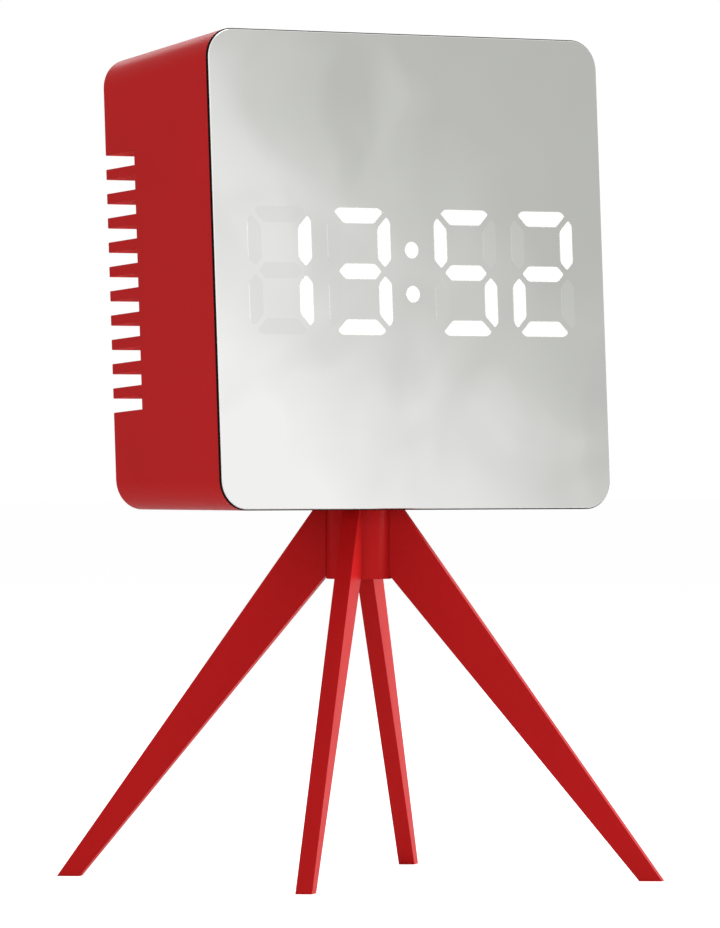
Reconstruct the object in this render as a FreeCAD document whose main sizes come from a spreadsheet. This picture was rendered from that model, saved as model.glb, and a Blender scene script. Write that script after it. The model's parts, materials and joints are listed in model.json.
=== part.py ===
import FreeCAD, Part
import math
import os
import re
import Sketcher
from FreeCAD import Placement, Rotation, Vector

# Square mirror-fronted alarm clock on a four-legged stand.
# World frame: +Z up, mirror faces -Y, origin on the floor below the hub's axis.
# Case frame: x right, y rearwards from the mirror's face, z up from the mirror's lower edge.
# The case narrows rearwards by the draft on all four sides and leans back by the same
# angle, so its underside lies level on the stand.

doc = FreeCAD.newDocument("MirrorClock")
dims = doc.addObject("Spreadsheet::Sheet", "Dims")

sizes = {
    # case
    "frontSize": 100.0,
    "cornerRadius": 6.3,
    "draft": 3.3,
    "caseDepth": 43.5,
    "wall": 2.0,
    "rearEdge": 0.3,
    "fit": 0.1,
    "overcut": 1.0,
    "tipGap": 1.0,
    # cooling slots across the rear edge
    "slotCount": 11,
    "slotPitch": 5.13,
    "slotHeight": 2.96,
    "slotDepth": 12.1,
    # bezel and mirror
    "bezelReveal": 0.8,
    "bezelRim": 0.3,
    "lipWall": 0.8,
    "trayBack": 2.0,
    "skirtEnd": 5.0,
    "skirtWall": 1.4,
    "mirrorThickness": 0.6,
    "mirrorChamfer": 0.15,
    "tapeThickness": 0.15,
    "tapeSize": 92.0,
    "tapeWidth": 3.0,
    # digits
    "displayDrop": 0.15,
    "digitHeight": 26.7,
    "digitWidth": 16.05,
    "digitPitch": 20.1,
    "middlePitch": 27.2,
    "stroke": 3.35,
    "segmentGap": 1.15,
    "tipInset": 0.93,
    "cornerCut": 2.9,
    "colonSpacing": 9.25,
    "colonRadius": 1.8,
    # digit block, its LEDs and the display board
    "blockWidth": 89.0,
    "blockHeight": 32.0,
    "blockDepth": 7.0,
    "ledSpace": 1.2,
    "ledWidth": 1.6,
    "ledDepth": 0.8,
    "boardThickness": 1.2,
    "boardWidth": 92.0,
    "boardHeight": 46.0,
    "boardHoleInset": 3.4,
    "pinSize": 1.8,
    "pinProud": 0.8,
    "postRadius": 2.6,
    # screws for boards
    "boardScrewRadius": 1.0,
    "boardScrewLength": 6.0,
    "screwHeadRadius": 2.0,
    "screwHeadHeight": 1.5,
    # case screws and the posts they run into
    "caseScrewRadius": 1.25,
    "caseScrewLength": 12.0,
    "caseHeadRadius": 2.4,
    "caseHeadHeight": 1.1,
    "headSink": 1.2,
    "caseScrewInset": 6.0,
    "casePostSize": 6.2,
    "crossArm": 1.44,
    "crossWeb": 0.36,
    # push buttons
    "buttonCount": 5,
    "buttonPitch": 11.0,
    "firstButton": -27.0,
    "buttonWidth": 6.8,
    "buttonHeight": 4.4,
    "buttonChamfer": 0.4,
    "buttonProud": 1.2,
    "buttonTravel": 0.8,
    "flangeMargin": 0.9,
    "flangeThickness": 1.0,
    "runningGap": 0.2,
    "plungerSize": 3.0,
    "tactSize": 6.0,
    "tactDepth": 3.5,
    "tactWell": 2.0,
    # control board
    "controlWidth": 75.0,
    "controlHeight": 12.0,
    "controlFront": 33.3,
    "controlScrewSpan": 69.2,
    "controlScrewDrop": 3.8,
    # alarm slide switch
    "knobPlace": 26.3,
    "knobWidth": 3.0,
    "knobHeight": 2.2,
    "knobProud": 0.8,
    "knobTravel": 3.0,
    "gripPitch": 0.9,
    "gripWidth": 0.35,
    "gripDepth": 0.3,
    "slideBodyWidth": 8.0,
    "slideBodyHeight": 3.8,
    # snooze bar
    "snoozeWidth": 44.0,
    "snoozeDepth": 8.0,
    "snoozeProud": 1.0,
    "snoozeFlange": 1.5,
    "snoozeCorner": 3.5,
    "snoozeTactDepth": 7.0,
    # power board and inlet
    "powerLeft": -18.5,
    "powerRight": 37.5,
    "powerFront": 28.8,
    "powerTop": 9.1,
    "powerScrew": -6.8,
    "powerScrewPlace": 34.5,
    "powerScrewLength": 4.2,
    "boardEdge": 0.3,
    "inletWidth": 7.5,
    "inletHeight": 2.9,
    "inletWall": 0.3,
    "inletLength": 5.8,
    "inletSink": 1.0,
    "inletClearance": 0.4,
    "inletBack": 0.8,
    "tongueSink": 1.0,
    "tongueThickness": 0.6,
    # coin cell, its drawer and holder
    "cellRadius": 10.0,
    "cellThickness": 3.2,
    "drawerPlace": 24.0,
    "drawerWidth": 24.0,
    "drawerHeight": 4.1,
    "drawerLength": 22.5,
    "drawerFloor": 0.8,
    "drawerTravel": 22.0,
    "drawerGap": 0.3,
    "drawerRim": 1.0,
    "notchWidth": 8.0,
    "notchHeight": 1.6,
    "notchDepth": 0.8,
    "holderWall": 1.0,
    "contactThickness": 0.2,
    "contactWidth": 4.0,
    "contactLength": 15.0,
    "contactInset": 0.5,
    # buzzer and its sound holes
    "buzzerPlace": -26.0,
    "buzzerHeight": 12.6,
    "buzzerRadius": 6.0,
    "buzzerDepth": 5.5,
    "buzzerMouth": 1.5,
    "mouthDepth": 1.0,
    "ribLength": 3.0,
    "soundSlots": 4,
    "soundPitch": 2.2,
    "soundLength": 8.0,
    "soundWidth": 1.0,
    # parts on the display board's back
    "chipPlace": -14.0,
    "chipWidth": 8.7,
    "chipHeight": 7.5,
    "chipDepth": 2.4,
    "chipLift": 0.2,
    "leadCount": 7,
    "leadPitch": 1.27,
    "leadWidth": 0.4,
    "leadThickness": 0.25,
    "leadRise": 1.25,
    "leadHeel": 4.4,
    "leadReach": 5.2,
    "crystalPlace": -1.0,
    "crystalDrop": 3.0,
    "crystalRadius": 1.05,
    "crystalLength": 6.0,
    "capacitorPlace": 12.0,
    "capacitorRadius": 3.15,
    "capacitorLength": 9.0,
    # ribbons
    "ribbonWidth": 8.0,
    "ribbonThickness": 0.4,
    "ribbonBend": 4.0,
    "ribbonUpperPlace": -6.0,
    "ribbonLowerPlace": -13.0,
    "ribbonRise": 18.15,
    "ribbonDrop": 17.85,
    "ribbonEndDrop": 3.33396,
    "socketWidth": 10.0,
    "socketHeight": 3.0,
    "socketDepth": 3.0,
    # stand
    "standHeight": 78.1,
    "hubFromFront": 22.4,
    "hubRadius": 6.95,
    "hubHeight": 14.7,
    "legThickness": 3.5,
    "footReach": 65.0,
    "footLength": 4.9,
    "legTopReach": 9.55,
    "crotchRise": 0.6,
    "keyDepth": 10.7,
    "keyInner": 3.0,
    "keyHead": 1.3,
    "keyWidth": 4.2,
    "neckWidth": 2.2,
    "keyRoot": 0.8,
    "pegSize": 1.6,
    "pegPlace": 4.9,
    "pegLength": 1.5,
    "pegRoot": 1.0,
    "hubScrewRadius": 1.5,
    "hubHeadRadius": 2.8,
    "hubHeadHeight": 2.4,
    "hubHeadSink": 3.2,
    "hubSocket": 1.45,
    "bossWall": 2.5,
    "bossHeight": 9.0,
}
for row, (alias, value) in enumerate(sizes.items(), start=1):
    dims.set(f"A{row}", alias)
    dims.set(f"B{row}", str(value))
    dims.setAlias(f"B{row}", alias)
doc.recompute()

# sizes worked out from the driving ones
taper = "tan(draft)"
cavityFront = "(frontSize - 2 * wall)"
rearSize = f"(frontSize - 2 * (caseDepth - bezelReveal) * {taper})"
rearInset = f"((caseDepth - bezelReveal) * {taper})"
slotBand = "((slotCount - 1) * slotPitch + slotHeight)"
finTop = f"(frontSize / 2 + {slotBand} / 2)"
finBottom = f"(frontSize / 2 - {slotBand} / 2)"
partitionBack = "(caseDepth - slotDepth)"
partitionFront = f"({partitionBack} - wall)"
rearInner = "(caseDepth - wall)"
casePostEnd = f"({rearInner} - fit)"
upperMiddle = f"(({finTop} + frontSize - {rearInset}) / 2)"
lowerMiddle = f"(({finBottom} + {rearInset}) / 2)"
screwX = f"({rearSize} / 2 - caseScrewInset)"
screwZ = f"(frontSize / 2 - {lowerMiddle})"
skirtSize = f"({cavityFront} - 2 * (skirtEnd - bezelReveal) * {taper} - 2 * fit)"
blockBack = "(trayBack + blockDepth)"
boardBack = f"({blockBack} + boardThickness)"
boardScrewX = "(boardWidth / 2 - boardHoleInset)"
boardScrewZ = "(boardHeight / 2 - boardHoleInset)"
displayCentre = "(frontSize / 2 - displayDrop)"
upperRibbonStart = f"({displayCentre} + ribbonRise)"
lowerRibbonStart = f"({displayCentre} - ribbonDrop)"
upperRibbonEnd = f"({upperMiddle} - ribbonEndDrop)"
controlBack = "(controlFront + boardThickness)"
headSeat = "(caseDepth - headSink)"
hubBottom = "(standHeight - hubHeight)"
drawerBottom = "(powerTop + holderWall + drawerGap)"
drawerMiddle = f"({drawerBottom} + drawerHeight / 2)"
holderHeight = "(drawerHeight + 2 * drawerGap + 2 * holderWall)"
holderFront = "(caseDepth - drawerLength - drawerGap - holderWall)"
snoozeMiddle = "(controlFront - snoozeTactDepth / 2)"
flangeWidth = "(buttonWidth + 2 * flangeMargin)"
flangeHeight = "(buttonHeight + 2 * flangeMargin)"
cellMiddle = "(caseDepth - drawerLength + drawerRim + cellRadius)"
through = "(wall + overcut)"

normals = {"XY_Plane": Vector(0, 0, 1), "XZ_Plane": Vector(0, -1, 0), "YZ_Plane": Vector(1, 0, 0)}


def cells(text):
    """Turn the size names in an expression into references to their cells."""
    return re.sub(r"[A-Za-z]\w+", lambda m: "Dims." + m[0] if m[0] in sizes else m[0], str(text))


def number(text):
    value = dims.evalExpression(cells(text))
    return float(getattr(value, "Value", value))


def newBody(label, frame="case", turn=0.0):
    """A body in the case's leaning frame, or in the world's, turned about the hub."""
    body = doc.addObject("PartDesign::Body", label)
    body.Label = label
    if frame == "case":
        start = Vector(0, -number("hubFromFront"), number("standHeight + bezelReveal * sin(draft)"))
        body.Placement = Placement(start, Rotation(Vector(1, 0, 0), -number("draft")))
        body.setExpression("Placement.Base.y", cells("-hubFromFront"))
        body.setExpression("Placement.Base.z", cells("standHeight + bezelReveal * sin(draft)"))
        body.setExpression("Placement.Rotation.Angle", cells("-draft"))
    else:
        body.Placement = Placement(Vector(0, 0, 0), Rotation(Vector(0, 0, 1), turn))
    return body


def newSketch(body, plane, name, at=("0", "0", "0"), tilt=None):
    """A sketch parallel to one of the body's planes, its centre at a point of the body."""
    sketch = body.newObject("Sketcher::SketchObject", name)
    support = [f for f in body.Origin.OriginFeatures if f.Role == plane][0]
    sketch.AttachmentSupport = [(support, "")]
    sketch.MapMode = "FlatFace"
    x, y, z = at
    order = {"XY_Plane": (x, y, z), "XZ_Plane": (x, z, f"-({y})"), "YZ_Plane": (y, z, x)}[plane]
    if tilt:
        sketch.AttachmentOffset = Placement(Vector(), Rotation(Vector(1, 0, 0), number(tilt)))
        sketch.setExpression("AttachmentOffset.Rotation.Angle", cells(tilt))
    for axis, place in zip("xyz", order):
        sketch.setExpression(f"AttachmentOffset.Base.{axis}", cells(place))
    return sketch


def pin(sketch, geometry, corner, x, y):
    """Hold a point of the sketch at a distance from its centre."""
    for kind, place in (("DistanceX", x), ("DistanceY", y)):
        index = sketch.addConstraint(Sketcher.Constraint(kind, -1, 1, geometry, corner, number(place)))
        if re.search(r"[A-Za-z]", str(place)):
            sketch.setExpression(f"Constraints[{index}]", cells(place))


def polygon(sketch, points):
    """A closed outline of straight lines through points given as expressions."""
    spots = [Vector(number(x), number(y), 0) for x, y in points]
    first = sketch.GeometryCount
    for start, end in zip(spots, spots[1:] + spots[:1]):
        sketch.addGeometry(Part.LineSegment(start, end))
    count = len(points)
    for i, (x, y) in enumerate(points):
        sketch.addConstraint(Sketcher.Constraint("Coincident", first + i, 2, first + (i + 1) % count, 1))
        pin(sketch, first + i, 1, x, y)


def circle(sketch, radius, x="0", y="0"):
    middle = Vector(number(x), number(y), 0)
    index = sketch.addGeometry(Part.Circle(middle, Vector(0, 0, 1), number(radius)))
    pin(sketch, index, 3, x, y)
    rule = sketch.addConstraint(Sketcher.Constraint("Radius", index, number(radius)))
    sketch.setExpression(f"Constraints[{rule}]", cells(radius))


def box(sketch, width, height, x="0", y="0"):
    """A rectangle about a point."""
    w, h = f"({width}) / 2", f"({height}) / 2"
    corners = ((f"{x} - {w}", f"{y} - {h}"), (f"{x} + {w}", f"{y} - {h}"),
               (f"{x} + {w}", f"{y} + {h}"), (f"{x} - {w}", f"{y} + {h}"))
    polygon(sketch, corners)


def roundBox(sketch, width, height, radius, x="0", y="0"):
    """A rectangle about a point, with four equal round corners tangent to its sides."""
    w, h, r = number(width) / 2, number(height) / 2, number(radius)
    cx, cy = number(x), number(y)
    lines, arcs = [], []
    for i, (sx, sy) in enumerate(((1, -1), (1, 1), (-1, 1), (-1, -1))):
        middle = Vector(cx + sx * (w - r), cy + sy * (h - r), 0)
        ring = Part.Circle(middle, Vector(0, 0, 1), r)
        start = (i - 1) * math.pi / 2
        arcs.append(sketch.addGeometry(Part.ArcOfCircle(ring, start, start + math.pi / 2)))
        pin(sketch, arcs[-1], 3, f"{x} + {sx} * (({width}) / 2 - ({radius}))",
            f"{y} + {sy} * (({height}) / 2 - ({radius}))")
    for i in range(4):
        a, b = sketch.Geometry[arcs[i]], sketch.Geometry[arcs[(i + 1) % 4]]
        lines.append(sketch.addGeometry(Part.LineSegment(a.EndPoint, b.StartPoint)))
    for i in range(4):
        sketch.addConstraint(Sketcher.Constraint("Tangent", arcs[i], 2, lines[i], 1))
        sketch.addConstraint(Sketcher.Constraint("Tangent", lines[i], 2, arcs[(i + 1) % 4], 1))
    rule = sketch.addConstraint(Sketcher.Constraint("Radius", arcs[0], r))
    sketch.setExpression(f"Constraints[{rule}]", cells(radius))
    for i in range(1, 4):
        sketch.addConstraint(Sketcher.Constraint("Equal", arcs[0], arcs[i]))


def extrude(kind, sketch, length, sense=1, middle=False):
    """Pad or pocket a sketch along (sense 1) or against (sense -1) the body's own axis."""
    body = sketch.getParentGeoFeatureGroup()
    feature = body.newObject("PartDesign::" + kind, f"{kind}_{sketch.Name}")
    feature.Profile = sketch
    plane = sketch.AttachmentSupport[0][0].Role
    normal = normals[plane]
    along = (normal.x + normal.y + normal.z) * sense > 0
    feature.Reversed = (not along) if kind == "Pad" else along
    if middle:
        feature.Midplane = True
    feature.setExpression("Length", cells(length))
    body.Tip = feature
    return feature


def pad(sketch, length, sense=1, middle=False):
    return extrude("Pad", sketch, length, sense, middle)


def pocket(sketch, length, sense=1, middle=False):
    return extrude("Pocket", sketch, length, sense, middle)


def turned(sketch):
    """Revolve a profile about the sketch's upright axis."""
    body = sketch.getParentGeoFeatureGroup()
    feature = body.newObject("PartDesign::Revolution", "Turned_" + sketch.Name)
    feature.Profile = sketch
    feature.ReferenceAxis = (sketch, ["V_Axis"])
    feature.Angle = 360.0
    body.Tip = feature
    return feature


def flat(shape, depth):
    """Whether a face or edge lies wholly at a depth behind the mirror's face."""
    return all(abs(v.Point.y - number(depth)) < 1e-6 for v in shape.Vertexes)


def named(feature, kind, test):
    """Names of the feature's faces or edges that pass a test."""
    shapes = feature.Shape.Faces if kind == "Face" else feature.Shape.Edges
    return [f"{kind}{i + 1}" for i, shape in enumerate(shapes) if test(shape)]


def finish(feature, kind, name, edges, key, size):
    """A fillet or chamfer on edges of a feature."""
    body = feature.getParentGeoFeatureGroup()
    dressed = body.newObject("PartDesign::" + kind, name)
    dressed.Base = (feature, edges)
    dressed.setExpression(key, cells(size))
    body.Tip = dressed
    doc.recompute()
    return dressed


def repeat(feature, first, second=None):
    """A row or a grid of a feature: (axis, count, step) along the body's axes."""
    body = feature.getParentGeoFeatureGroup()
    pattern = body.newObject("PartDesign::LinearPattern", "Row_" + feature.Name)
    pattern.Originals = [feature]
    for ending, run in (("", first), ("2", second)):
        if run is None:
            continue
        axis, count, step = run
        line = [f for f in body.Origin.OriginFeatures if f.Role == axis[0] + "_Axis"][0]
        setattr(pattern, "Direction" + ending, (line, [""]))
        setattr(pattern, "Mode" + ending, "Extent")
        setattr(pattern, "Reversed" + ending, axis.endswith("-"))
        pattern.setExpression("Occurrences" + ending, cells(count))
        pattern.setExpression("Length" + ending, cells(f"(({count}) - 1) * ({step})"))
    body.Tip = pattern
    return pattern


def ringOf(feature, axis, count):
    """Turn copies of a feature about a sketch's normal."""
    body = feature.getParentGeoFeatureGroup()
    pattern = body.newObject("PartDesign::PolarPattern", "Ring_" + feature.Name)
    pattern.Originals = [feature]
    pattern.Axis = axis
    pattern.Angle = 360.0
    pattern.setExpression("Occurrences", cells(count))
    body.Tip = pattern
    return pattern


def segmentPoints(which):
    """One segment of a digit, as points about the digit's middle, from its stroke and gap."""
    w, ht = "(digitWidth / 2)", "(digitHeight / 2)"
    node = "(segmentGap * cos(45))"
    tip = f"(tipInset + {node})"
    inner = f"(stroke + {node})"
    if which == "g":
        reach = f"({w} - stroke / 2 - {node})"
        half = "(stroke / 2)"
        return ((f"-{reach}", "0"), (f"-({reach} - {half})", f"-{half}"), (f"{reach} - {half}", f"-{half}"),
                (reach, "0"), (f"{reach} - {half}", half), (f"-({reach} - {half})", half))
    if which in "ad":
        side = {"a": 1, "d": -1}[which]
        along = ((f"-({w} - {tip})", f"{ht} - tipInset"), (f"-({w} - {inner})", f"{ht} - stroke"),
                 (f"{w} - {inner}", f"{ht} - stroke"), (f"{w} - {tip}", f"{ht} - tipInset"),
                 (f"{w} - cornerCut", ht), (f"-({w} - cornerCut)", ht))
        return [(x, f"{side} * ({y})") for x, y in along]
    right = 1 if which in "bc" else -1
    upper = 1 if which in "bf" else -1
    side = ((f"{w} - stroke / 2", node), (w, f"{node} + stroke / 2"), (w, f"{ht} - cornerCut"),
            (f"{w} - tipInset", f"{ht} - {tip}"), (f"{w} - stroke", f"{ht} - {inner}"),
            (f"{w} - stroke", f"{node} + stroke / 2"))
    return [(f"{right} * ({x})", f"{upper} * ({y})") for x, y in side]


digitPlaces = ("-middlePitch / 2 - digitPitch", "-middlePitch / 2",
               "middlePitch / 2", "middlePitch / 2 + digitPitch")
litSegments = ("bc", "abcdg", "acdfg", "abdeg")


def drawSegments(body, digit, which, depth):
    """A sketch of some of one digit's segments, at a depth behind the mirror's face."""
    sketch = newSketch(body, "XZ_Plane", f"Digit{digit}", (digitPlaces[digit], depth, displayCentre))
    for name in which:
        polygon(sketch, segmentPoints(name))
    return sketch


def drawColon(body, depth, square=False):
    """The colon's two dots, or the square wells that hold them behind the mirror."""
    sketch = newSketch(body, "XZ_Plane", "Colon", ("0", depth, displayCentre))
    for place in ("colonSpacing / 2", "-colonSpacing / 2"):
        if square:
            box(sketch, "2 * colonRadius", "2 * colonRadius", "0", place)
        else:
            circle(sketch, "colonRadius", "0", place)
    return sketch


def cutSegments(body, depth, length, square=True):
    """Openings for all the segments and the colon."""
    for digit in range(4):
        pocket(drawSegments(body, digit, "abcdefg", depth), length)
    pocket(drawColon(body, depth, square), length)


def caseShell():
    """Red moulding: tapered box, open in front, its rear edge cut into fins."""
    body = newBody("case_shell")
    side = newSketch(body, "YZ_Plane", "SideProfile")
    polygon(side, (("bezelReveal", "0"), ("caseDepth", rearInset),
                   ("caseDepth", f"frontSize - {rearInset}"), ("bezelReveal", "frontSize")))
    pad(side, "frontSize", 1, True)
    flanks = newSketch(body, "XY_Plane", "Flanks")
    for sx in (-1, 1):
        side = "frontSize / 2"
        polygon(flanks, [(f"{sx} * ({x})", y) for x, y in
                         ((side, "bezelReveal"), (f"{side} + overcut", "bezelReveal"),
                          (f"{side} + overcut", "caseDepth"), (f"{side} - {rearInset}", "caseDepth"))])
    block = pocket(flanks, "frontSize", 1)
    doc.recompute()
    slanted = named(block, "Edge", lambda e: not flat(e, "bezelReveal") and not flat(e, "caseDepth"))
    rounded = finish(block, "Fillet", "Corners", slanted, "Radius", "cornerRadius")
    shell = body.newObject("PartDesign::Thickness", "Shell")
    shell.Base = (rounded, named(rounded, "Face", lambda f: flat(f, "bezelReveal")))
    shell.setExpression("Value", cells("wall"))
    shell.Reversed = True
    shell.Mode = "Skin"
    shell.Join = "Arc"
    doc.recompute()
    rear = named(shell, "Edge", lambda e: flat(e, "caseDepth"))
    finish(shell, "Chamfer", "RearEdge", rear, "Size", "rearEdge")

    lip = newSketch(body, "XZ_Plane", "Lip", ("0", "bezelReveal", "frontSize / 2"))
    roundBox(lip, "frontSize - 2 * lipWall", "frontSize - 2 * lipWall", "cornerRadius - lipWall")
    pocket(lip, "trayBack - bezelReveal")
    core = newSketch(body, "XZ_Plane", "FinCore", ("0", partitionFront, "frontSize / 2"))
    box(core, f"{rearSize} - wall", f"{slotBand} + 2 * wall")
    pad(core, f"{rearInner} - {partitionFront} + wall / 2")
    slot = newSketch(body, "XZ_Plane", "Slot", ("0", "caseDepth", f"{finTop} - slotHeight / 2"))
    box(slot, "frontSize", "slotHeight")
    repeat(pocket(slot, "slotDepth", -1), ("Z-", "slotCount", "slotPitch"))

    bosses(body)
    openings(body)
    return body


def bosses(body):
    """Screw bosses and ribs inside the case, and the boss that the stand's screw runs into."""
    level = f"{upperMiddle} - controlScrewDrop"
    stubs = newSketch(body, "XZ_Plane", "ControlBosses", ("0", rearInner, level))
    holes = newSketch(body, "XZ_Plane", "ControlPilots", ("0", controlBack, level))
    for sx in (-1, 1):
        box(stubs, "2 * postRadius", "2 * postRadius", f"{sx} * controlScrewSpan / 2")
        circle(holes, "boardScrewRadius + fit / 2", f"{sx} * controlScrewSpan / 2")
    pad(stubs, f"{rearInner} - {controlBack}", -1)
    pocket(holes, "boardScrewLength")
    ribs = newSketch(body, "XZ_Plane", "BuzzerRibs", ("buzzerPlace", rearInner, "buzzerHeight"))
    for side in (-1, 1):
        box(ribs, "wall / 2", "2 * buzzerRadius", f"{side} * (buzzerRadius + fit + wall / 4)")
    pad(ribs, "ribLength", -1)
    rests = newSketch(body, "XY_Plane", "PowerRests", ("0", "powerScrewPlace", "powerTop - boardThickness"))
    box(rests, "2 * postRadius", "2 * postRadius", "powerScrew")
    box(rests, "wall", "2 * postRadius", "drawerPlace")
    pad(rests, f"powerTop - boardThickness - powerScrewPlace * {taper} - wall / 2", -1)
    pilot = newSketch(body, "XY_Plane", "PowerPilot", ("0", "powerScrewPlace", "powerTop - boardThickness"))
    circle(pilot, "boardScrewRadius + fit / 2", "powerScrew")
    pocket(pilot, "powerScrewLength - boardThickness + 2 * fit", -1)

    # the hub's boss stands upright in the world, so it is tilted in the case's frame
    foot = ("0", "hubFromFront * cos(draft) + bezelReveal * sin(draft)^2",
            "hubFromFront * sin(draft) - bezelReveal * sin(draft) * cos(draft)")
    boss = newSketch(body, "XY_Plane", "HubBoss", (foot[0], foot[1], f"{foot[2]} + wall / 2"), "draft")
    box(boss, "2 * (hubScrewRadius + bossWall)", "2 * (hubScrewRadius + bossWall)")
    pad(boss, "bossHeight - wall / 2")
    bore = newSketch(body, "XY_Plane", "HubPilot", foot, "draft")
    circle(bore, "hubScrewRadius + fit / 2")
    pocket(bore, "bossHeight - fit")
    pegs = newSketch(body, "XY_Plane", "PegHoles", foot, "draft")
    for side in (-1, 1):
        box(pegs, "pegSize + 2 * fit", "pegSize + 2 * fit", f"{side} * pegPlace")
    pocket(pegs, "pegLength + fit")


def openings(body):
    """Holes in the case's rear wall and top for what moves or plugs in."""
    buttons = newSketch(body, "XZ_Plane", "ButtonHole", ("firstButton", "caseDepth", upperMiddle))
    box(buttons, "buttonWidth + 2 * runningGap", "buttonHeight + 2 * runningGap")
    repeat(pocket(buttons, through, -1), ("X", "buttonCount", "buttonPitch"))
    knob = newSketch(body, "XZ_Plane", "KnobSlot", ("knobPlace", "caseDepth", upperMiddle))
    box(knob, "knobWidth + knobTravel + 2 * runningGap", "knobHeight + 2 * runningGap", "knobTravel / 2")
    pocket(knob, through, -1)
    drawer = newSketch(body, "XZ_Plane", "DrawerHole", ("drawerPlace", "caseDepth", drawerMiddle))
    box(drawer, "drawerWidth + 2 * drawerGap", "drawerHeight + 2 * drawerGap")
    pocket(drawer, through, -1)
    inlet = newSketch(body, "XZ_Plane", "InletHole", ("0", "caseDepth", "powerTop + inletHeight / 2"))
    inletOutline(inlet, "-inletClearance")
    pocket(inlet, through, -1)
    wells = newSketch(body, "XZ_Plane", "HeadWells", ("0", "caseDepth", "frontSize / 2"))
    bores = newSketch(body, "XZ_Plane", "ScrewBores", ("0", "caseDepth", "frontSize / 2"))
    for sx in (-1, 1):
        for sz in (-1, 1):
            circle(wells, "caseHeadRadius + fit", f"{sx} * {screwX}", f"{sz} * {screwZ}")
            circle(bores, "caseScrewRadius + fit", f"{sx} * {screwX}", f"{sz} * {screwZ}")
    pocket(wells, "headSink", -1)
    pocket(bores, through, -1)
    lowest = "buzzerHeight - soundPitch * (soundSlots - 1) / 2"
    sound = newSketch(body, "XZ_Plane", "SoundSlot", ("buzzerPlace", "caseDepth", lowest))
    box(sound, "soundLength", "soundWidth")
    repeat(pocket(sound, through, -1), ("Z", "soundSlots", "soundPitch"))
    snooze = newSketch(body, "XY_Plane", "SnoozeHole", ("0", snoozeMiddle, "frontSize"))
    roundBox(snooze, "snoozeWidth + 2 * runningGap", "snoozeDepth + 2 * runningGap", "snoozeCorner")
    pocket(snooze, f"{through} + caseDepth * {taper}", -1)


def frontParts():
    """Bezel tray, mirror sheet and the adhesive frame between them."""
    bezel = newBody("front_bezel")
    face = newSketch(bezel, "XZ_Plane", "Face", ("0", "0", "frontSize / 2"))
    roundBox(face, "frontSize", "frontSize", "cornerRadius")
    pad(face, "bezelReveal")
    plug = newSketch(bezel, "XZ_Plane", "Plug", ("0", "bezelReveal", "frontSize / 2"))
    insideLip = "frontSize - 2 * lipWall - 2 * fit"
    roundBox(plug, insideLip, insideLip, "cornerRadius - lipWall - fit")
    pad(plug, "trayBack - bezelReveal")
    skirt = newSketch(bezel, "XZ_Plane", "Skirt", ("0", "trayBack", "frontSize / 2"))
    roundBox(skirt, skirtSize, skirtSize, "cornerRadius - wall")
    insideSkirt = f"{skirtSize} - 2 * skirtWall"
    roundBox(skirt, insideSkirt, insideSkirt, "cornerRadius - wall - skirtWall")
    pad(skirt, "skirtEnd - trayBack")
    recess = newSketch(bezel, "XZ_Plane", "Recess", ("0", "0", "frontSize / 2"))
    roundBox(recess, "frontSize - 2 * bezelRim", "frontSize - 2 * bezelRim", "cornerRadius - bezelRim")
    pocket(recess, "mirrorThickness")
    groove = newSketch(bezel, "XZ_Plane", "TapeGroove", ("0", "mirrorThickness", "frontSize / 2"))
    box(groove, "tapeSize", "tapeSize")
    box(groove, "tapeSize - 2 * tapeWidth", "tapeSize - 2 * tapeWidth")
    pocket(groove, "tapeThickness")
    posts = newSketch(bezel, "XZ_Plane", "BoardPosts", ("0", "trayBack", displayCentre))
    pins = newSketch(bezel, "XZ_Plane", "BoardPins", ("0", blockBack, displayCentre))
    long = newSketch(bezel, "XZ_Plane", "CasePosts", ("0", "trayBack", "frontSize / 2"))
    cores = newSketch(bezel, "XZ_Plane", "CasePilots", ("0", casePostEnd, "frontSize / 2"))
    for sx in (-1, 1):
        for sz in (-1, 1):
            box(posts, "2 * postRadius", "2 * postRadius", f"{sx} * {boardScrewX}", f"{sz} * {boardScrewZ}")
            box(pins, "pinSize", "pinSize", f"{sx} * {boardScrewX}", f"{sz} * {boardScrewZ}")
            box(long, "casePostSize", "casePostSize", f"{sx} * {screwX}", f"{sz} * {screwZ}")
            circle(cores, "caseScrewRadius + fit / 2", f"{sx} * {screwX}", f"{sz} * {screwZ}")
    pad(posts, "blockDepth")
    pad(pins, "boardThickness + pinProud")
    pad(long, f"{casePostEnd} - trayBack")
    pocket(cores, "caseScrewLength", -1)
    cutSegments(bezel, "mirrorThickness", "trayBack")

    mirror = newBody("mirror_panel")
    sheet = newSketch(mirror, "XZ_Plane", "Sheet", ("0", "0", "frontSize / 2"))
    roundBox(sheet, "frontSize - 2 * bezelRim", "frontSize - 2 * bezelRim", "cornerRadius - bezelRim")
    plate = pad(sheet, "mirrorThickness")
    doc.recompute()
    front = named(plate, "Edge", lambda e: flat(e, "0"))
    finish(plate, "Chamfer", "FrontEdge", front, "Size", "mirrorChamfer")
    cutSegments(mirror, "0", "mirrorThickness", False)

    tape = newBody("mirror_tape")
    frame = newSketch(tape, "XZ_Plane", "Frame", ("0", "mirrorThickness", "frontSize / 2"))
    box(frame, "tapeSize", "tapeSize")
    box(frame, "tapeSize - 2 * tapeWidth", "tapeSize - 2 * tapeWidth")
    pad(frame, "tapeThickness")


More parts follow.
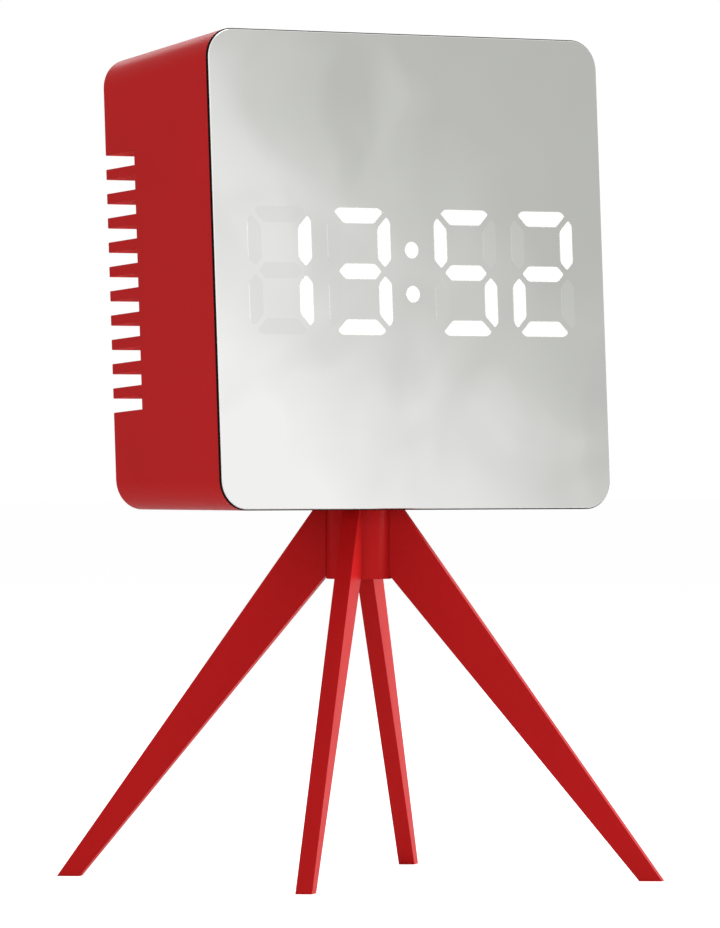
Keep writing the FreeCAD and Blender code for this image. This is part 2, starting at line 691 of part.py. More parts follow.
def displayParts():
    """Digit block with a well for each segment, what fills the wells, LEDs and board."""
    block = newBody("digit_block")
    outline = newSketch(block, "XZ_Plane", "Block", ("0", "trayBack", displayCentre))
    box(outline, "blockWidth", "blockHeight")
    pad(outline, "blockDepth")
    cutSegments(block, "trayBack", "blockDepth")

    fill = f"{blockBack} - ledSpace"
    lit = newBody("lit_segments")
    unlit = newBody("unlit_segments")
    for digit, on in enumerate(litSegments):
        pad(drawSegments(lit, digit, on, "0"), fill)
        pad(drawSegments(unlit, digit, [s for s in "abcdefg" if s not in on], "0"), fill)
    pad(drawColon(lit, "0"), fill)

    leds = newBody("segment_leds")
    high, wide = "(digitHeight / 2 - stroke / 2)", "(digitWidth / 2 - stroke / 2)"
    spots = (("0", high), ("0", "0"), ("0", f"-{high}"), (wide, f"{high} / 2"), (wide, f"-{high} / 2"),
             (f"-{wide}", f"{high} / 2"), (f"-{wide}", f"-{high} / 2"))
    for digit, place in enumerate(digitPlaces):
        spot = (place, f"{blockBack} - ledDepth", displayCentre)
        chips = newSketch(leds, "XZ_Plane", f"Leds{digit}", spot)
        for x, z in spots:
            box(chips, "ledWidth", "ledWidth", x, z)
        pad(chips, "ledDepth")
    dots = newSketch(leds, "XZ_Plane", "LedsColon", ("0", f"{blockBack} - ledDepth", displayCentre))
    for side in (-1, 1):
        box(dots, "ledWidth", "ledWidth", "0", f"{side} * colonSpacing / 2")
    pad(dots, "ledDepth")

    board = newBody("display_board")
    plate = newSketch(board, "XZ_Plane", "Board", ("0", blockBack, displayCentre))
    box(plate, "boardWidth", "boardHeight")
    hole = "pinSize + 2 * fit"
    for sx in (-1, 1):
        for sz in (-1, 1):
            box(plate, hole, hole, f"{sx} * {boardScrewX}", f"{sz} * {boardScrewZ}")
    pad(plate, "boardThickness")


def lying(label, plane, at, outline, length, sense=1):
    """A simple body: one outline padded away from a plane."""
    body = newBody(label)
    sketch = newSketch(body, plane, "Outline", at)
    outline(sketch)
    pad(sketch, length, sense)
    return body


def boardParts():
    """Chip, crystal, capacitor and ribbon sockets on the display board's back."""
    chip = newBody("clock_chip")
    case = newSketch(chip, "XZ_Plane", "Case", ("chipPlace", f"{boardBack} + chipLift", displayCentre))
    box(case, "chipWidth", "chipHeight")
    pad(case, "chipDepth")
    firstLead = "chipPlace - (leadCount - 1) / 2 * leadPitch"
    root, bend = "chipHeight / 2 - leadThickness", "leadHeel - leadThickness"
    for side in (-1, 1):
        lead = newSketch(chip, "YZ_Plane", "Lead", (firstLead, boardBack, displayCentre))
        run = (("0", "leadReach"), ("leadThickness", "leadReach"), ("leadThickness", "leadHeel"),
               ("leadRise + leadThickness", "leadHeel"), ("leadRise + leadThickness", root),
               ("leadRise", root), ("leadRise", bend), ("0", bend))
        polygon(lead, [(y, f"{side} * ({z})") for y, z in run])
        repeat(pad(lead, "leadWidth", 1, True), ("X", "leadCount", "leadPitch"))

    spot = ("crystalPlace", f"{boardBack} + crystalRadius + fit / 2", f"{displayCentre} - crystalDrop")
    lying("crystal", "XY_Plane", spot, lambda s: circle(s, "crystalRadius"), "crystalLength")
    lying("smoothing_capacitor", "XZ_Plane", ("capacitorPlace", boardBack, displayCentre),
          lambda s: circle(s, "capacitorRadius"), "capacitorLength")

    sockets = newBody("ribbon_sockets")
    places = {"UpperSocket": ("ribbonUpperPlace", boardBack, upperRibbonStart),
              "LowerSocket": ("ribbonLowerPlace", boardBack, lowerRibbonStart),
              "ControlSocket": ("ribbonUpperPlace", "controlFront", upperRibbonEnd)}
    for name, place in places.items():
        sketch = newSketch(sockets, "XZ_Plane", name, place)
        box(sketch, "socketWidth", "socketHeight")
        pad(sketch, "socketDepth", -1 if name == "ControlSocket" else 1)
    power = newSketch(sockets, "XY_Plane", "PowerSocket",
                      ("ribbonLowerPlace", "powerFront + socketDepth / 2 + boardEdge", "powerTop"))
    box(power, "socketWidth", "socketDepth")
    pad(power, "socketHeight")


def ribbon(label, place, start, end, bend):
    """Flat cable: runs rearwards from the display board, up or down, and on to its socket."""
    (y0, z0), (y1, z1) = start, end
    body = newBody(label)
    route = newSketch(body, "YZ_Plane", "Route", (place, "0", "0"))
    half = "ribbonThickness / 2"
    turn = 1 if number(z1) > number(z0) else -1
    middle = f"(({y0}) + ({y1})) / 2"
    outline = ((y0, f"{z0} - {half}"), (f"{middle} + {turn} * {half}", f"{z0} - {half}"),
               (f"{middle} + {turn} * {half}", f"{z1} - {half}"), (y1, f"{z1} - {half}"),
               (y1, f"{z1} + {half}"), (f"{middle} - {turn} * {half}", f"{z1} + {half}"),
               (f"{middle} - {turn} * {half}", f"{z0} + {half}"), (y0, f"{z0} + {half}"))
    polygon(route, outline)
    strip = pad(route, "ribbonWidth", 1, True)
    doc.recompute()
    folds = [(number(outline[i][0]), number(outline[i][1])) for i in (1, 2, 5, 6)]
    outer = f"{bend} + ribbonThickness"
    for name, picked, radius in (("Inside", (1, 3), bend), ("Outside", (0, 2), outer)):
        if turn < 0:
            picked = (2, 0) if name == "Inside" else (3, 1)
        rounded = body.newObject("PartDesign::Fillet", name + "Bends")
        corners = [folds[i] for i in picked]
        edges = [f"Edge{i + 1}" for i, e in enumerate(strip.Shape.Edges)
                 if any(all(abs(v.Point.y - y) < 1e-5 and abs(v.Point.z - z) < 1e-5 for v in e.Vertexes)
                        for y, z in corners)]
        rounded.Base = (strip, edges)
        rounded.setExpression("Radius", cells(radius))
        body.Tip = rounded
        doc.recompute()
        strip = rounded
    return body


def controlParts():
    """Rear control board, its switches, the button caps, the slide knob and the snooze bar."""
    board = newBody("control_board")
    plate = newSketch(board, "XZ_Plane", "Board", ("0", "controlFront", upperMiddle))
    box(plate, "controlWidth", "controlHeight")
    for sx in (-1, 1):
        circle(plate, "boardScrewRadius + fit", f"{sx} * controlScrewSpan / 2", "-controlScrewDrop")
    pad(plate, "boardThickness")
    screws = newBody("control_screws")
    row = ("X", "2", "controlScrewSpan")
    spot = ("-controlScrewSpan / 2", "controlFront", f"{upperMiddle} - controlScrewDrop")
    shank = newSketch(screws, "XZ_Plane", "Shank", spot)
    circle(shank, "boardScrewRadius")
    repeat(pad(shank, "boardScrewLength"), row)
    head = newSketch(screws, "XZ_Plane", "Head", spot)
    circle(head, "screwHeadRadius")
    repeat(pad(head, "screwHeadHeight", -1), row)

    tacts = newBody("tact_switches")
    square = newSketch(tacts, "XZ_Plane", "Square", ("firstButton", controlBack, upperMiddle))
    box(square, "tactSize", "tactSize")
    repeat(pad(square, "tactDepth"), ("X", "buttonCount", "buttonPitch"))
    well = newSketch(tacts, "XZ_Plane", "Well", ("firstButton", f"{controlBack} + tactDepth", upperMiddle))
    box(well, "plungerSize + 2 * runningGap", "plungerSize + 2 * runningGap")
    repeat(pocket(well, "tactWell", -1), ("X", "buttonCount", "buttonPitch"))

    seat = f"({rearInner} - runningGap)"
    wellFloor = f"({controlBack} + tactDepth - tactWell)"
    for index in range(int(sizes["buttonCount"])):
        cap = newBody(f"button_{index + 1}")
        place = (f"firstButton + {index} * buttonPitch", seat, upperMiddle)
        flange = newSketch(cap, "XZ_Plane", "Flange", place)
        box(flange, flangeWidth, flangeHeight)
        pad(flange, "flangeThickness", -1)
        stem = newSketch(cap, "XZ_Plane", "Stem", place)
        box(stem, "plungerSize", "plungerSize")
        pad(stem, f"{seat} - {wellFloor} - buttonTravel - runningGap", -1)
        crown = newSketch(cap, "XZ_Plane", "Crown", place)
        box(crown, "buttonWidth", "buttonHeight")
        top = pad(crown, "wall + buttonProud + runningGap")
        doc.recompute()
        rim = named(top, "Edge", lambda e: flat(e, "caseDepth + buttonProud"))
        finish(top, "Chamfer", "CrownEdge", rim, "Size", "buttonChamfer")

    base = newBody("alarm_switch")
    shell = newSketch(base, "XZ_Plane", "Shell", ("knobPlace", controlBack, upperMiddle))
    box(shell, "slideBodyWidth", "slideBodyHeight", "knobTravel / 2")
    pad(shell, "tactDepth")
    track = newSketch(base, "XZ_Plane", "Track", ("knobPlace", f"{controlBack} + tactDepth", upperMiddle))
    box(track, "knobWidth + knobTravel + 2 * runningGap", "knobHeight + 2 * runningGap", "knobTravel / 2")
    pocket(track, "tactWell", -1)
    knob = newBody("alarm_knob")
    foot = newSketch(knob, "XZ_Plane", "Foot",
                     ("knobPlace", f"{controlBack} + tactDepth - tactWell + runningGap", upperMiddle))
    box(foot, "knobWidth", "knobHeight")
    pad(foot, f"caseDepth + knobProud - ({controlBack} + tactDepth - tactWell + runningGap)")
    for step in (-1, 0, 1):
        place = (f"knobPlace + {step} * gripPitch", "caseDepth + knobProud", upperMiddle)
        grip = newSketch(knob, "XZ_Plane", f"Grip{step + 1}", place)
        box(grip, "gripWidth", "knobHeight + 2 * fit")
        pocket(grip, "gripDepth", -1)

    tact = newBody("snooze_switch")
    top = f"({upperMiddle} + controlHeight / 2)"
    square = newSketch(tact, "XY_Plane", "Square", ("0", snoozeMiddle, top))
    box(square, "tactSize", "snoozeTactDepth")
    pad(square, "tactDepth", -1)
    well = newSketch(tact, "XY_Plane", "Well", ("0", snoozeMiddle, top))
    box(well, "plungerSize + 2 * runningGap", "plungerSize + 2 * runningGap")
    pocket(well, "tactWell", -1)
    bar = newBody("snooze_bar")
    flangeBack = f"({snoozeMiddle} + snoozeDepth / 2 + snoozeFlange)"
    under = f"(frontSize - ({flangeBack} - bezelReveal) * {taper} - wall - runningGap)"
    plate = newSketch(bar, "XY_Plane", "Plate", ("0", snoozeMiddle, under))
    box(plate, "snoozeWidth + 2 * snoozeFlange", "snoozeDepth + 2 * snoozeFlange")
    pad(plate, "flangeThickness", -1)
    stem = newSketch(bar, "XY_Plane", "Stem", ("0", snoozeMiddle, under))
    box(stem, "plungerSize", "plungerSize")
    pad(stem, f"{under} - ({top} - tactWell) - buttonTravel - runningGap", -1)
    crown = newSketch(bar, "XY_Plane", "Crown", ("0", snoozeMiddle, f"{under} - flangeThickness"))
    roundBox(crown, "snoozeWidth", "snoozeDepth", "snoozeCorner")
    pad(crown, f"frontSize + snoozeProud + overcut - {under} + flangeThickness")
    trim = newSketch(bar, "XY_Plane", "Trim", ("0", "bezelReveal", "frontSize + snoozeProud"), "-draft")
    box(trim, "frontSize", "frontSize", "0", "frontSize / 2")
    pocket(trim, "snoozeDepth")


def powerParts():
    """Power board with the inlet, the coin cell's drawer and holder, and the buzzer."""
    board = newBody("power_board")
    plate = newSketch(board, "XY_Plane", "Board", ("0", "0", "powerTop"))
    depth = f"({rearInner} - boardEdge - powerFront)"
    box(plate, "powerRight - powerLeft", depth, "(powerRight + powerLeft) / 2", f"powerFront + {depth} / 2")
    circle(plate, "boardScrewRadius + fit", "powerScrew", "powerScrewPlace")
    pad(plate, "boardThickness", -1)
    screw = newBody("power_screw")
    spot = ("powerScrew", "powerScrewPlace", "powerTop")
    shank = newSketch(screw, "XY_Plane", "Shank", spot)
    circle(shank, "boardScrewRadius")
    pad(shank, "powerScrewLength", -1)
    head = newSketch(screw, "XY_Plane", "Head", spot)
    circle(head, "screwHeadRadius")
    pad(head, "screwHeadHeight")

    inlet = newBody("usb_inlet")
    mouth = "(caseDepth - inletSink)"
    shell = newSketch(inlet, "XZ_Plane", "Shell", ("0", mouth, "powerTop + inletHeight / 2"))
    inletOutline(shell, "0")
    pad(shell, "inletLength", -1)
    inside = newSketch(inlet, "XZ_Plane", "Inside", ("0", mouth, "powerTop + inletHeight / 2"))
    inletOutline(inside, "inletWall")
    pocket(inside, "inletLength - inletBack", -1)
    level = "powerTop + inletHeight / 2 + tongueThickness / 2"
    tongue = newSketch(inlet, "XZ_Plane", "Tongue", ("0", f"{mouth} - tongueSink", level))
    box(tongue, "inletWidth / 2", "tongueThickness")
    pad(tongue, "inletLength - inletBack / 2 - tongueSink", -1)

    holder = newBody("cell_holder")
    spot = ("drawerPlace", rearInner, f"powerTop + {holderHeight} / 2")
    tube = newSketch(holder, "XZ_Plane", "Tube", spot)
    box(tube, "drawerWidth + 2 * drawerGap + 2 * holderWall", holderHeight)
    pad(tube, f"{rearInner} - {holderFront}", -1)
    bore = newSketch(holder, "XZ_Plane", "Bore", spot)
    box(bore, "drawerWidth + 2 * drawerGap", "drawerHeight + 2 * drawerGap")
    pocket(bore, f"{rearInner} - {holderFront} - holderWall", -1)
    contacts = newBody("cell_contacts")
    for name, level, sense in (("Upper", f"powerTop + {holderHeight} - holderWall", -1),
                               ("Lower", "powerTop + holderWall", 1)):
        middle = f"{holderFront} + holderWall + contactInset + contactLength / 2"
        strip = newSketch(contacts, "XY_Plane", name, ("drawerPlace", middle, level))
        box(strip, "contactWidth", "contactLength")
        pad(strip, "contactThickness", sense)

    drawer = newBody("cell_drawer")
    middle = "caseDepth - drawerLength / 2"
    tray = newSketch(drawer, "XY_Plane", "Tray", ("drawerPlace", middle, drawerBottom))
    box(tray, "drawerWidth", "drawerLength")
    pad(tray, "drawerHeight")
    rest = ("drawerPlace", cellMiddle, f"{drawerBottom} + drawerFloor")
    seat = newSketch(drawer, "XY_Plane", "Seat", rest)
    circle(seat, "cellRadius + fit")
    pocket(seat, "drawerHeight")
    notch = newSketch(drawer, "XZ_Plane", "Notch", ("drawerPlace", "caseDepth", drawerBottom))
    box(notch, "notchWidth", "notchHeight")
    pocket(notch, "notchDepth", -1)
    cell = newBody("coin_cell")
    disc = newSketch(cell, "XY_Plane", "Can", rest)
    circle(disc, "cellRadius")
    pad(disc, "cellThickness")

    buzzer = newBody("buzzer")
    drum = newSketch(buzzer, "XZ_Plane", "Drum", ("buzzerPlace", rearInner, "buzzerHeight"))
    circle(drum, "buzzerRadius")
    pad(drum, "buzzerDepth", -1)
    mouth = newSketch(buzzer, "XZ_Plane", "Mouth", ("buzzerPlace", rearInner, "buzzerHeight"))
    circle(mouth, "buzzerMouth")
    pocket(mouth, "mouthDepth", -1)

    screws = newBody("case_screws")
    spot = (f"-{screwX}", headSeat, lowerMiddle)
    grid = (("X", "2", f"2 * {screwX}"), ("Z", "2", f"2 * {screwZ}"))
    shank = newSketch(screws, "XZ_Plane", "Shank", spot)
    circle(shank, "caseScrewRadius")
    repeat(pad(shank, f"{headSeat} - {casePostEnd} + caseScrewLength - tipGap", -1), *grid)
    head = newSketch(screws, "XZ_Plane", "Head", spot)
    circle(head, "caseHeadRadius")
    repeat(pad(head, "caseHeadHeight"), *grid)
    cross = newSketch(screws, "XZ_Plane", "Cross", (spot[0], f"{headSeat} + caseHeadHeight", spot[2]))
    quarter = (("crossArm", "-crossWeb"), ("crossArm", "crossWeb"), ("crossWeb", "crossWeb"))
    outline = []
    for _ in range(4):
        outline += quarter
        quarter = [(f"-({y})", x) for x, y in quarter]
    polygon(cross, outline)
    repeat(pocket(cross, "caseHeadHeight / 2", -1), *grid)


def inletOutline(sketch, inset):
    """The inlet's outline, narrower below, drawn in or out by a distance."""
    w, h = f"(inletWidth / 2 - ({inset}))", f"(inletHeight / 2 - ({inset}))"
    polygon(sketch, ((f"-{w} + inletHeight * 0.35", f"-{h}"), (f"{w} - inletHeight * 0.35", f"-{h}"),
                     (w, f"-{h} * 0.2"), (w, h), (f"-{w}", h), (f"-{w}", f"-{h} * 0.2")))


def standParts():
    """Round hub, four flat legs keyed into it from above, and the screw that holds the case."""
    hub = newBody("hub", "world", 45)
    column = newSketch(hub, "XY_Plane", "Column", ("0", "0", hubBottom))
    circle(column, "hubRadius")
    pad(column, "hubHeight")
    bore = newSketch(hub, "XY_Plane", "Bore", ("0", "0", hubBottom))
    circle(bore, "hubScrewRadius + fit")
    pocket(bore, "hubHeight")
    sink = newSketch(hub, "XY_Plane", "Counterbore", ("0", "0", hubBottom))
    circle(sink, "hubHeadRadius + fit")
    pocket(sink, "hubHeadSink")
    key = newSketch(hub, "XY_Plane", "KeySlot", ("0", "0", "standHeight"))
    keyOutline(key, "fit", "hubRadius + overcut")
    slot = pocket(key, "keyDepth", -1)
    ringOf(slot, (key, ["N_Axis"]), "4")
    # the hub's sketch is turned an eighth about its axis, so a peg square to the case has its corners on it
    pegs = newSketch(hub, "XY_Plane", "Pegs", ("0", "0", "standHeight - pegRoot"))
    half = "pegSize * cos(45)"
    for side in (-1, 1):
        x, y = f"{side} * pegPlace * cos(45)", f"{-side} * pegPlace * cos(45)"
        polygon(pegs, ((f"{x} + {half}", y), (x, f"{y} + {half}"), (f"{x} - {half}", y), (x, f"{y} - {half}")))
    pad(pegs, "pegRoot + pegLength")

    turns = {"leg_rear_right": 45, "leg_rear_left": 135, "leg_front_left": 225, "leg_front_right": 315}
    for name, turn in turns.items():
        leg = newBody(name, "world", turn)
        blade = newSketch(leg, "XZ_Plane", "Blade")
        crotch = f"({hubBottom} + crotchRise)"
        innerSlope = f"((footReach - footLength - hubRadius) / {crotch})"
        start = "(hubRadius - 2 * overcut)"
        lowest = f"(footReach - footLength - {start}) / {innerSlope}"
        polygon(blade, (("footReach - footLength", "0"), ("footReach", "0"),
                        ("legTopReach", "standHeight"), (start, "standHeight"), (start, lowest)))
        pad(blade, "legThickness", 1, True)
        saddle = newSketch(leg, "XY_Plane", "Saddle", ("0", "0", "0"))
        circle(saddle, "hubRadius + fit / 2")
        pocket(saddle, "standHeight")
        key = newSketch(leg, "XY_Plane", "Key", ("0", "0", "standHeight"))
        keyOutline(key, "0", "hubRadius + keyRoot")
        pad(key, "keyDepth - fit", -1)

    screw = newBody("hub_screw", "world")
    profile = newSketch(screw, "XZ_Plane", "Profile")
    seat = f"({hubBottom} + hubHeadSink)"
    tip = "(standHeight + bossHeight - tipGap)"
    polygon(profile, (("0", f"{seat} - hubHeadHeight"), ("hubHeadRadius", f"{seat} - hubHeadHeight"),
                      ("hubHeadRadius", seat), ("hubScrewRadius", seat), ("hubScrewRadius", tip), ("0", tip)))
    turned(profile)
    socket = newSketch(screw, "XY_Plane", "Socket", ("0", "0", f"{seat} - hubHeadHeight"))
    flats = [(f"hubSocket * {c}", f"hubSocket * {r}") for c, r in
             (("1", "0"), ("0.5", "sin(60)"), ("-0.5", "sin(60)"),
              ("-1", "0"), ("-0.5", "-sin(60)"), ("0.5", "-sin(60)"))]
    polygon(socket, flats)
    pocket(socket, "hubHeadHeight / 2")


def keyOutline(sketch, gap, reach):
    """T-shaped key seen from above: a head near the hub's axis and a neck out to its rim."""
    inner, head = f"(keyInner - {gap})", f"(keyInner + keyHead + {gap})"
    wide, neck = f"(keyWidth / 2 + {gap})", f"(neckWidth / 2 + {gap})"
    polygon(sketch, ((inner, f"-{wide}"), (head, f"-{wide}"), (head, f"-{neck}"), (reach, f"-{neck}"),
                     (reach, neck), (head, neck), (head, wide), (inner, wide)))


caseShell()
frontParts()
displayParts()
boardParts()
controlParts()
powerParts()
standParts()
ribbon("control_ribbon", "ribbonUpperPlace", (f"{boardBack} + socketDepth", upperRibbonStart),
       ("controlFront - socketDepth", upperRibbonEnd), "ribbonBend")
ribbon("power_ribbon", "ribbonLowerPlace", (f"{boardBack} + socketDepth", lowerRibbonStart),
       ("powerFront + boardEdge", "powerTop + socketHeight / 2"), "ribbonBend")
doc.recompute()

# every feature has to be sound before anything is written
for item in doc.Objects:
    if "Invalid" in item.State or "Error" in item.State:
        raise RuntimeError(f"{item.Name}: {item.State}")
os.makedirs("parts", exist_ok=True)
for body in [item for item in doc.Objects if item.TypeId == "PartDesign::Body"]:
    if body.Shape.isNull() or not body.Shape.isValid():
        raise RuntimeError(f"{body.Label} has no valid shape")
    body.Shape.exportStep(f"parts/{body.Label}.step")
    print(body.Label, len(body.Shape.Solids), round(body.Shape.Volume, 2))
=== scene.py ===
import json
from math import cos, pi, radians, sin

import bmesh
import bpy
from mathutils import Matrix, Vector


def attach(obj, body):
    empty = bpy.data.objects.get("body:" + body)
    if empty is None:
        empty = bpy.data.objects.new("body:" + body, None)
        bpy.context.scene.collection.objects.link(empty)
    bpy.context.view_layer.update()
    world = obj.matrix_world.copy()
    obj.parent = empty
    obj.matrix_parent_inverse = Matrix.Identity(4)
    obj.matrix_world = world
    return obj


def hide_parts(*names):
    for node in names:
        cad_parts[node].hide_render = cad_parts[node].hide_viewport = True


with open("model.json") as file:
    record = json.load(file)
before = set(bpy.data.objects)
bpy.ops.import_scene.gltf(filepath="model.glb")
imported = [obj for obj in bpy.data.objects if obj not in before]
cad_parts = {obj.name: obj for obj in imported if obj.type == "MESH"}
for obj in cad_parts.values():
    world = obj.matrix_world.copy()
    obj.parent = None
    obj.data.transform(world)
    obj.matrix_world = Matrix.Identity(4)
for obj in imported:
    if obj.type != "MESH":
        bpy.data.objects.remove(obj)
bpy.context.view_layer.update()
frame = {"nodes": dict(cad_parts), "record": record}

# Square mirror-fronted alarm clock: a red moulded case on a round hub with four flat legs.
# Metres throughout; the mirror faces -Y and the floor is z = 0.

nodes = frame["nodes"]
bodyOf = {}
for bodyName, members in frame["record"]["behaviour"]["bodies"].items():
    for member in members:
        bodyOf[member] = bodyName
slotOf = {row["node"]: row["material_slot"] for row in frame["record"]["subparts"]}

# the case's own frame: x right, y rearwards from the mirror's face, z up from its lower edge
caseSizes = {"front": 0.1, "corner": 0.0063, "lean": 3.3, "lowerEdge": (0, -0.0224, 0.078146)}
lean = Matrix.Rotation(radians(-caseSizes["lean"]), 4, "X")
caseFrame = Matrix.Translation(caseSizes["lowerEdge"]) @ lean
intoCase = caseFrame.inverted()
facing = lean.to_3x3() @ Vector((0, -1, 0))
faceOn = 0.99  # the least dot product with it for a face that looks the mirror's way
print("frame loaded,", len(nodes), "parts")


# camera: on the mirror's left, level with the middle of the clock's height
cameraPlace = {
    "distance": 1.733,
    "aroundLeft": 35.01,
    "aside": 0.00023,
    "height": 0.0892,
    "tiltDown": 0.05,
    "lens": 317.7,
    "sensor": 36,
    "seesTo": 50,
}


def placeCamera(place):
    turn = radians(place["aroundLeft"])
    ahead = Vector((sin(turn), cos(turn), 0))
    right = Vector((cos(turn), -sin(turn), 0))
    data = bpy.data.cameras.new("photoCamera")
    data.sensor_fit = "VERTICAL"
    data.sensor_height = place["sensor"]
    data.lens = place["lens"]
    data.clip_end = place["seesTo"]
    camera = bpy.data.objects.new("photoCamera", data)
    camera.location = -place["distance"] * ahead + place["aside"] * right + Vector((0, 0, place["height"]))
    camera.rotation_euler = (radians(90 - place["tiltDown"]), 0, -turn)
    bpy.context.scene.collection.objects.link(camera)
    bpy.context.scene.camera = camera


placeCamera(cameraPlace)
bpy.context.scene.view_settings.view_transform = "Standard"
print("camera placed")


# colours are written as sRGB hex and turned to linear here
def colour(hexText):
    parts = [int(hexText[i:i + 2], 16) / 255 for i in (0, 2, 4)]
    return [c / 12.92 if c < 0.04045 else ((c + 0.055) / 1.055) ** 2.4 for c in parts] + [1]


# adds one node; a setting or link goes to the socket of that name or number, or else to a property
def addNode(tree, kind, settings=None, links=None):
    node = tree.nodes.new("ShaderNode" + kind)
    for name, value in (settings or {}).items():
        if isinstance(name, int) or name in node.inputs:
            node.inputs[name].default_value = value
        else:
            setattr(node, name, value)
    for name, source in (links or {}).items():
        tree.links.new(source, node.inputs[name])
    return node


# a texture's scale for a pattern of that size
def perMetre(millimetres):
    return 1000 / millimetres


waveTurn = 2 * pi / 20  # a wave texture's bands come round once in this much of its own unit


# puts a colour ramp's stops in their places; a stop that is added starts anywhere
def setStops(ramp, places, tones):
    while len(ramp.elements) < len(tones):
        ramp.elements.new(0.5)
    for stop, place, tone in zip(ramp.elements, places, tones):
        stop.position = place
        stop.color = colour(tone)


def newFinish(name):
    material = bpy.data.materials.new(name)
    material.use_nodes = True
    tree = material.node_tree
    tree.nodes.clear()
    place = addNode(tree, "TexCoord").outputs["Object"]
    return material, tree, place


def surface(tree, settings, links):
    shader = addNode(tree, "BsdfPrincipled", settings, links)
    addNode(tree, "OutputMaterial", {}, {"Surface": shader.outputs[0]})


shadeStops = (0.3, 0.7)  # a noise lies mostly between these, so both shades show
skinDepth = 0.00004  # a moulded skin's bumps, in metres


# a moulded plastic: two close shades in broad clouds, gloss that varies, and the fine skin of the tool
def mouldedPlastic(name, look):
    material, tree, place = newFinish(name)
    clouds = addNode(tree, "TexNoise", {"Scale": perMetre(look["cloud"]), "Detail": 3}, {"Vector": place})
    shade = addNode(tree, "ValToRGB", {}, {"Fac": clouds.outputs[0]})
    setStops(shade.color_ramp, shadeStops, (look["deep"], look["light"]))
    handling = addNode(tree, "TexNoise", {"Scale": perMetre(look["patch"]), "Detail": 4}, {"Vector": place})
    gloss = addNode(tree, "MapRange", {"To Min": look["rough"][0], "To Max": look["rough"][1]},
                    {"Value": handling.outputs[0]})
    skin = addNode(tree, "TexNoise", {"Scale": perMetre(look["grain"]), "Detail": 2}, {"Vector": place})
    bump = addNode(tree, "Bump", {"Strength": look["relief"], "Distance": skinDepth},
                   {"Height": skin.outputs[0]})
    surface(tree, {"IOR": look["ior"], "Specular IOR Level": look["specular"],
                   "Sheen Weight": look.get("sheen", 0),
                   "Sheen Tint": colour(look.get("sheenTint", "ffffff"))},
            {"Base Color": shade.outputs[0], "Roughness": gloss.outputs[0], "Normal": bump.outputs[0]})
    return material


# injection-moulded ABS in signal red, from a satin tool: an even deep red with a faint broad gloss
redAbs = mouldedPlastic("redMouldedAbs", {
    "deep": "a91718", "light": "ae1819", "cloud": 28, "patch": 9, "rough": (0.34, 0.42),
    "grain": 0.7, "relief": 0.1, "ior": 1.53, "specular": 0.03})

# the same ABS on the slot walls, rougher, as a lit copy: a brighter red and a strong red sheen lift these
# walls out of the slots' shade
redAbsLitInSlots = mouldedPlastic("redAbsLitForSlotWalls", {
    "deep": "b01011", "light": "b81112", "cloud": 28, "patch": 6, "rough": (0.6, 0.75),
    "grain": 0.25, "relief": 0.35, "ior": 1.53, "specular": 0.03, "sheen": 1, "sheenTint": "ff4040"})

# black ABS from a satin tool: the keys, the slide, the drawer and the cell holder, deep and a little warm
blackAbs = mouldedPlastic("blackSatinAbs", {
    "deep": "0c0706", "light": "120b0a", "cloud": 12, "patch": 4, "rough": (0.4, 0.52),
    "grain": 0.35, "relief": 0.25, "ior": 1.53, "specular": 0.1})

# the bezel's ABS is etched matt, so it stays black at any angle; its rear edge is painted maroon, a painted
# reflection of the case's red
bezelLook = {"black": "0a0403", "paintedCaseRed": "3c0d0b", "from": 0.00045, "to": 0.0008, "rough": (0.5, 0.6),
             "grain": 0.3, "relief": 0.25, "specular": 0.02}


def etchedAbs(look):
    material, tree, place = newFinish("blackEtchedAbs")
    corner = addNode(tree, "VectorMath", {"operation": "SUBTRACT", 1: caseSizes["lowerEdge"]}, {0: place})
    behind = addNode(tree, "VectorMath", {"operation": "DOT_PRODUCT", 1: -facing}, {0: corner.outputs[0]})
    # painted reflection: the bezel turns maroon from this far behind the mirror's face
    paintedRedMask = addNode(tree, "MapRange", {"From Min": look["from"], "From Max": look["to"]},
                  {"Value": behind.outputs["Value"]})
    tone = addNode(tree, "Mix", {"data_type": "RGBA", 6: colour(look["black"]), 7: colour(look["paintedCaseRed"])},
                   {0: paintedRedMask.outputs[0]})
    skin = addNode(tree, "TexNoise", {"Scale": perMetre(look["grain"]), "Detail": 2}, {"Vector": place})
    gloss = addNode(tree, "MapRange", {"To Min": look["rough"][0], "To Max": look["rough"][1]},
                    {"Value": skin.outputs[0]})
    bump = addNode(tree, "Bump", {"Strength": look["relief"], "Distance": skinDepth},
                   {"Height": skin.outputs[0]})
    surface(tree, {"Specular IOR Level": look["specular"]},
            {"Base Color": tone.outputs[2], "Roughness": gloss.outputs[0], "Normal": bump.outputs[0]})
    return material


bezelAbs = etchedAbs(bezelLook)

# polycarbonate filled with white pigment: the digit block, bright and quite flat
reflectorPlastic = mouldedPlastic("whitePolycarbonate", {
    "deep": "dedfd9", "light": "ecede7", "cloud": 10, "patch": 5, "rough": (0.45, 0.6),
    "grain": 0.4, "relief": 0.1, "ior": 1.58, "specular": 0.4})

# moulded epoxy: the chip, the switches and the buzzer, a dull near-black with a coarse skin
epoxyBlack = mouldedPlastic("blackMouldedEpoxy", {
    "deep": "141414", "light": "1f1f20", "cloud": 5, "patch": 3, "rough": (0.55, 0.72),
    "grain": 0.15, "relief": 0.35, "ior": 1.55, "specular": 0.4})

# nylon: the ribbon sockets, ivory and waxy
ivoryNylon = mouldedPlastic("ivoryNylon", {
    "deep": "d6cbac", "light": "e2d8bd", "cloud": 6, "patch": 3, "rough": (0.4, 0.52),
    "grain": 0.3, "relief": 0.1, "ior": 1.53, "specular": 0.4})

# closed-cell adhesive foam behind the mirror: black, dull, pitted
adhesiveFoam = mouldedPlastic("blackFoamTape", {
    "deep": "131313", "light": "242424", "cloud": 2, "patch": 1, "rough": (0.85, 0.95),
    "grain": 0.3, "relief": 0.8, "ior": 1.45, "specular": 0.2})
print("plastics made")
